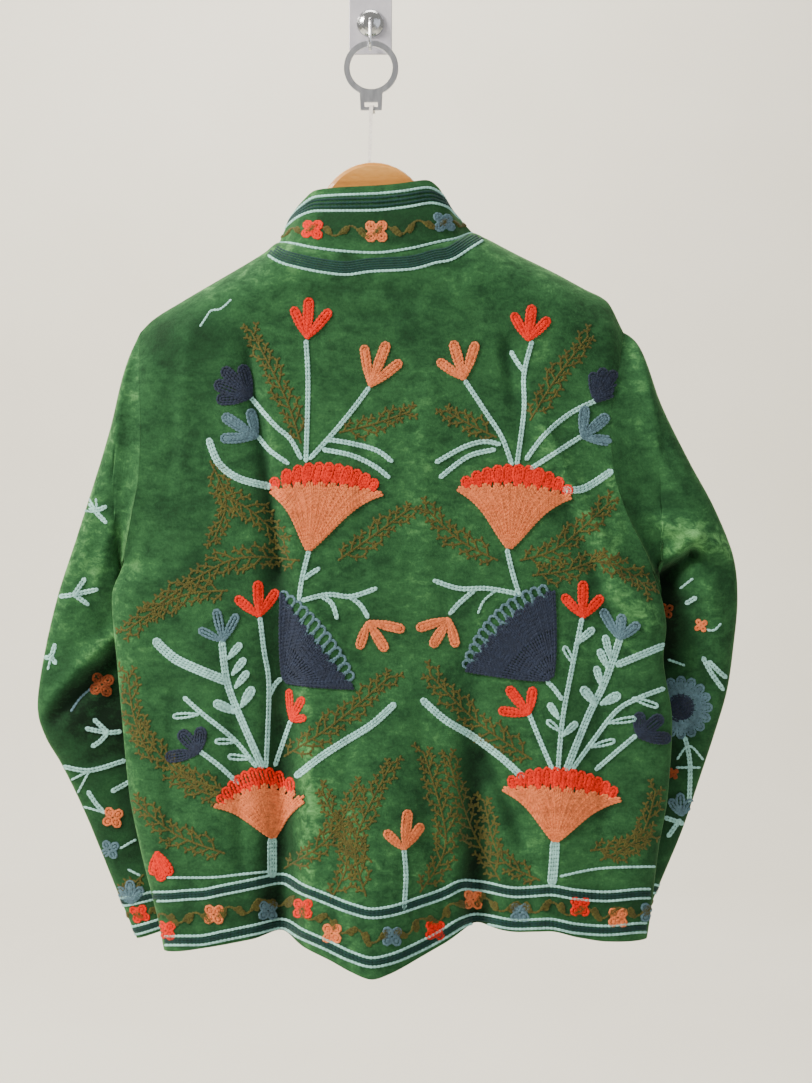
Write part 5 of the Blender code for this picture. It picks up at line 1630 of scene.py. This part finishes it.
def velvet_material():
    """Cotton velvet: brushed nap patches and painted light and shade in its colour, with a fine short pile.

    A real pile is 0.1 mm across and would not show, so it is drawn 1.3 and 2.4 mm across.
    """
    made, tree = begin("cotton velvet", Sheen_Weight=0.42, Sheen_Roughness=0.38, Specular_IOR_Level=0.15,
                       Sheen_Tint=colour(VELVET_SHEEN))
    patches = cloudy(tree, 40.0, detail=4.0, rough=0.6, stretch=(0.8, 1.0, 1.0), twist=0.8)
    streaks = cloudy(tree, 9.0, detail=4.0, rough=0.65, stretch=(0.7, 1.0, 1.2), twist=0.6, shift=(3, 1, 7))
    pile, fine_pile = (cloudy(tree, size, detail=2.0, rough=0.6) for size in (2.4, 1.3))
    nap_and_light = add(tree, "ShaderNodeMix", {0: NAP_STREAKS, 2: patches, 3: streaks}).outputs[0]
    nap_and_light = add(tree, "ShaderNodeMix", {0: NAP_PILE, 2: nap_and_light, 3: pile}).outputs[0]
    nap_and_light, combed = (
        add(tree, "ShaderNodeMapRange", dict(enumerate((value, *limits)))).outputs[0]
        for value, limits in ((nap_and_light, (*NAP_FROM, 0.0, 1.0)), (streaks, (*COMBED_FROM, *COMBED_TO)))
    )
    # Painted light and shade from the cloth's points, added to the nap's colour
    light_and_lie = add(tree, "ShaderNodeAttribute", attribute_name="nap_and_light").outputs["Fac"]
    light_and_lie = add(tree, "ShaderNodeMath", {0: light_and_lie, 1: combed}, operation="MULTIPLY").outputs[0]
    brushed_and_lit = add(tree, "ShaderNodeMath", {0: light_and_lie, 1: NAP_AND_LIGHT_SHARE, 2: nap_and_light}, operation="MULTIPLY_ADD").outputs[0]
    crush = cloudy(tree, 9.0, detail=4.0, rough=0.6)
    crush = add(tree, "ShaderNodeMix", {0: CRUSH_PILE, 2: crush, 3: fine_pile}).outputs[0]
    gloss = cloudy(tree, 30.0)
    return finish(made, brushed_and_lit, VELVET_RAMP, gloss, rough=(0.82, 0.96), relief=crush, strength=0.7, deep=1.8)


def thread_material(name, code):
    """Matt crewel wool: each strand a little uneven in colour, with soft fibres that catch no highlight.

    Real fibres are 0.03 mm across and would not show, so they are drawn 0.8 mm across.
    """
    made, tree = begin(f"{name} crewel wool", Sheen_Weight=0.12, Specular_IOR_Level=0.22)
    strand, fuzz = cloudy(tree, 5.0, rough=0.6), cloudy(tree, 0.9, detail=2.0, rough=0.6)
    tint = add(tree, "ShaderNodeMix", {0: 0.5, 2: strand, 3: fuzz}).outputs[0]
    stops = [(place, shade(code, share)) for place, share in THREAD_SHADES]
    gloss, fibres = cloudy(tree, 3.0), cloudy(tree, 0.8, detail=2.0, rough=0.65)
    return finish(made, tint, stops, gloss, rough=(0.74, 0.9), relief=fibres, strength=0.5, deep=0.35)


def beech_material():
    """Varnished beech: warm grain that runs along the arms, under a smooth clear coat.

    Real pores are 0.1 mm across and would not show, so they are drawn 5 mm across.
    """
    made, tree = begin("varnished beech", Coat_Weight=0.5, Coat_Roughness=0.12)
    grain = cloudy(tree, 26.0, detail=5.0, rough=0.6, stretch=(0.16, 1.0, 1.6), twist=0.8)
    fleck = cloudy(tree, 3.0, rough=0.6, stretch=(0.3, 1.0, 1.0))
    tint = add(tree, "ShaderNodeMix", {0: 0.3, 2: grain, 3: fleck}).outputs[0]
    gloss, pores = cloudy(tree, 14.0), cloudy(tree, 5.0, rough=0.6, stretch=(0.2, 1.0, 1.0))
    return finish(made, tint, BEECH_RAMP, gloss, rough=(0.34, 0.46), relief=pores, strength=0.25, deep=0.12)


def steel_material(name, stops, rough, stretch):
    """Steel: its roughness drifts across it, so that reflections break up a little.

    Real scratches are 0.05 mm across and would not show, so they are drawn 0.8 mm across.
    """
    made, tree = begin(name, Metallic=1.0)
    tint, gloss = (cloudy(tree, size, rough=0.6, stretch=stretch) for size in (7.0, 2.0))
    scratches = cloudy(tree, 0.8, detail=2.0, rough=0.6, stretch=stretch)
    return finish(made, tint, stops, gloss, rough, relief=scratches, strength=0.15, deep=0.04)


def plastic_material():
    """Grey moulded plastic: satin, a little cloudy."""
    made, tree = begin("grey moulded plastic", Coat_Weight=0.25)
    tint, gloss, grain = cloudy(tree, 18.0), cloudy(tree, 9.0), cloudy(tree, 1.5, detail=2.0, rough=0.5)
    return finish(made, tint, PLASTIC_RAMP, gloss, rough=(0.26, 0.38), relief=grain, strength=0.2, deep=0.05)


def tape_material():
    """White cotton tape: plain weave that shows as fine ribs."""
    made, tree = begin("woven cotton tape", Sheen_Weight=0.1)
    tint, gloss = cloudy(tree, 2.0, rough=0.6), cloudy(tree, 4.0)
    ribs = cloudy(tree, 0.9, detail=1.0, rough=0.5, stretch=(1.0, 1.0, 2.0))
    return finish(made, tint, TAPE_RAMP, gloss, rough=(0.8, 0.92), relief=ribs, strength=0.6, deep=0.25)


def paint_material():
    """Pale matt wall paint: nearly even, with a faint cloudiness."""
    made, tree = begin("pale matt paint", Specular_IOR_Level=0.2)
    tint, gloss = cloudy(tree, 900.0), cloudy(tree, 200.0)
    return finish(made, tint, PAINT_RAMP, gloss, rough=(0.85, 0.95))


def make_link(kind):
    """One chain-stitch link of unit length, width and height: two strands that part and meet again."""
    points, faces = [], []
    for x, half, high, between in LINK_STATIONS[kind]:
        crest = half * LINK_CREST
        rim = [(x, -half, LINK_SINK), (x, -crest, high), (x, 0, between), (x, crest, high)]
        points += [*rim, (x, half, LINK_SINK)]
    across = len(points) // len(LINK_STATIONS[kind])
    for low in range(len(points) - across):
        if low % across < across - 1:
            faces.append((low, low + across, low + across + 1, low + 1))
    return linked(f"chain_link_{kind}", plain_mesh(f"chain_link_{kind}", points, faces))


def stitch_tree():
    """Geometry nodes that set one link at each point, turned and sized by the point's own attributes."""
    tree = bpy.data.node_groups.new("chain stitch", "GeometryNodeTree")
    for name, kind in TREE_INPUTS.items():
        tree.interface.new_socket(name, in_out="INPUT", socket_type=f"NodeSocket{kind}")
    tree.interface.new_socket("Geometry", in_out="OUTPUT", socket_type="NodeSocketGeometry")
    given = add(tree, "NodeGroupInput").outputs
    link = add(tree, "GeometryNodeObjectInfo", {"Object": given["Link"]}).outputs["Geometry"]
    turn, size = (
        add(tree, "GeometryNodeInputNamedAttribute", {"Name": name}, data_type="FLOAT_VECTOR").outputs[0]
        for name in ("turn", "size")
    )
    across, high = given["Row width"], given["Row height"]
    wider = add(tree, "ShaderNodeCombineXYZ", {0: 1.0, 1: across, 2: high}).outputs[0]
    scale = add(tree, "ShaderNodeVectorMath", {0: size, 1: wider}, operation="MULTIPLY").outputs[0]
    rotation = add(tree, "FunctionNodeEulerToRotation", {0: turn}).outputs[0]
    placed = add(tree, "GeometryNodeInstanceOnPoints", {
        "Points": given["Geometry"], "Instance": link, "Rotation": rotation, "Scale": scale}).outputs[0]
    real = add(tree, "GeometryNodeRealizeInstances", {"Geometry": placed}).outputs[0]
    shaded = add(tree, "GeometryNodeSetShadeSmooth", {"Geometry": real}).outputs[0]
    last = add(tree, "GeometryNodeSetMaterial", {"Geometry": shaded, "Material": given["Thread"]}).outputs[0]
    add(tree, "NodeGroupOutput", {"Geometry": last})
    return tree


def euler_angles(ahead, normal):
    """Euler angles of frames whose x axis is ahead and whose z axis is the normal."""
    side = np.cross(normal, ahead)
    roll, pitch = np.arctan2(side[:, 2], normal[:, 2]), -np.arcsin(np.clip(ahead[:, 2], -1, 1))
    return np.stack([roll, pitch, np.arctan2(ahead[:, 1], ahead[:, 0])], axis=-1)


def sew(links, tree, threads):
    """Makes one piece for each panel, thread and kind of row, or more where there are very many links."""
    shapes = {kind: make_link(kind) for kind in LINK_STATIONS}
    sockets = {s.name: s.identifier for s in tree.interface.items_tree if s.in_out == "INPUT"}
    held = sorted(links.items())
    pieces = [(key, first) for key, rows in held for first in range(0, len(rows), MOST_LINKS)]
    made = {}
    for (panel, thread, kind), first in pieces:
        name = f"{panel}_{thread}_{kind}_{first // MOST_LINKS + 1}"
        rows = links[panel, thread, kind][first : first + MOST_LINKS]
        place, ahead, normal, size = np.split(np.array(rows), 4, axis=1)
        mesh = plain_mesh(name, (place * MM).tolist(), [])
        for attribute, values in (("turn", euler_angles(ahead, normal)), ("size", size * MM)):
            held = mesh.attributes.new(attribute, "FLOAT_VECTOR", "POINT")
            held.data.foreach_set("vector", values.astype(np.float32).ravel())
        piece = linked(name, mesh)
        modifier = piece.modifiers.new("chain stitch", "NODES")
        modifier.node_group = tree
        given = {"Link": shapes[kind], "Thread": threads[thread], "Row width": 1.0, "Row height": 1.0}
        for socket, value in given.items():
            modifier[sockets[socket]] = value
        sewn = bpy.data.meshes.new_from_object(piece.evaluated_get(bpy.context.evaluated_depsgraph_get()))
        piece.modifiers.clear()
        piece.data = sewn
        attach(piece, "root")
        made.setdefault(panel, []).append(piece)
    for shape in shapes.values():
        bpy.data.objects.remove(shape, do_unlink=True)
    return made


def dress(node, material):
    """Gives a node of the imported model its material."""
    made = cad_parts[node]
    made.data.materials.clear()
    made.data.materials.append(material)


def make_stage():
    """A pale floor that sweeps up into a pale wall, both well clear of the jacket."""
    turns = [math.pi / 2 * k / STAGE_PARTS for k in range(STAGE_PARTS + 1)]
    foot = WALL_Y - STAGE_ROUND
    sweep = [(foot + STAGE_ROUND * math.sin(a), FLOOR_Z + STAGE_ROUND * (1 - math.cos(a))) for a in turns]
    profile = [(STAGE_NEAR, FLOOR_Z), *sweep, (WALL_Y, STAGE_HIGH)]
    points = [(x, y, z) for y, z in profile for x in (-STAGE_HALF, STAGE_HALF)]
    faces = [(2 * i, 2 * i + 1, 2 * i + 3, 2 * i + 2) for i in range(len(profile) - 1)]
    made = linked("floor_and_wall", plain_mesh("floor_and_wall", points, faces, paint_material()))
    smooth_shaded(made, STAGE_SHARP_FROM)


def make_light(name, place, aim, size, power, tint):
    """A soft square light that looks at its aim."""
    data = bpy.data.lights.new(name, "AREA")
    data.size, data.energy, data.color = size, power, colour(tint)[:3]
    made = linked(name, data)
    made.location = place
    made.rotation_euler = (Vector(aim) - Vector(place)).to_track_quat("-Z", "Y").to_euler()


def make_camera():
    """A camera that looks level along +Y, as the photo was taken."""
    data = bpy.data.cameras.new("camera")
    data.lens, data.sensor_width, data.clip_end = LENS, SENSOR, CLIP_END
    made = linked("camera", data)
    made.location = Vector(EYE) * MM
    made.rotation_euler = (math.pi / 2, 0.0, 0.0)
    bpy.context.scene.camera = made


def make_world():
    """Even, slightly warm light from all round, which fills the shadows."""
    world = bpy.data.worlds.new("soft room light")
    bpy.context.scene.world = world
    world.use_nodes = True
    ground = world.node_tree.nodes["Background"]
    ground.inputs["Color"].default_value = colour(WORLD_TINT)
    ground.inputs["Strength"].default_value = WORLD_LIGHT


def main():
    """Makes and sews the cloth pieces, finishes the hardware, and sets stage, lights and camera."""
    velvet = velvet_material()
    panels = make_body(velvet)
    make_sleeves(velvet, panels)
    make_collar(velvet, panels)
    links = {}
    for embroider in (embroider_back, embroider_collar, embroider_sleeves, embroider_fronts):
        embroider(links, panels)
    threads = {name: thread_material(name, code) for name, code in THREADS.items()}
    sewn = sew(links, stitch_tree(), threads)
    chrome = steel_material("chromed steel", CHROME_RAMP, CHROME_ROUGH, (1.0, 1.0, 1.0))
    dress("hanger", beech_material())
    dress("hook_wire", chrome)
    dress("hook_dome", chrome)
    dress("wall_plate", plastic_material())
    dress("ring", steel_material("brushed steel", STEEL_RAMP, STEEL_ROUGH, (1.0, 1.0, 0.3)))
    dress("strap", tape_material())
    make_stage()
    for light in LIGHTS:
        make_light(*light)
    make_world()
    make_camera()


main()
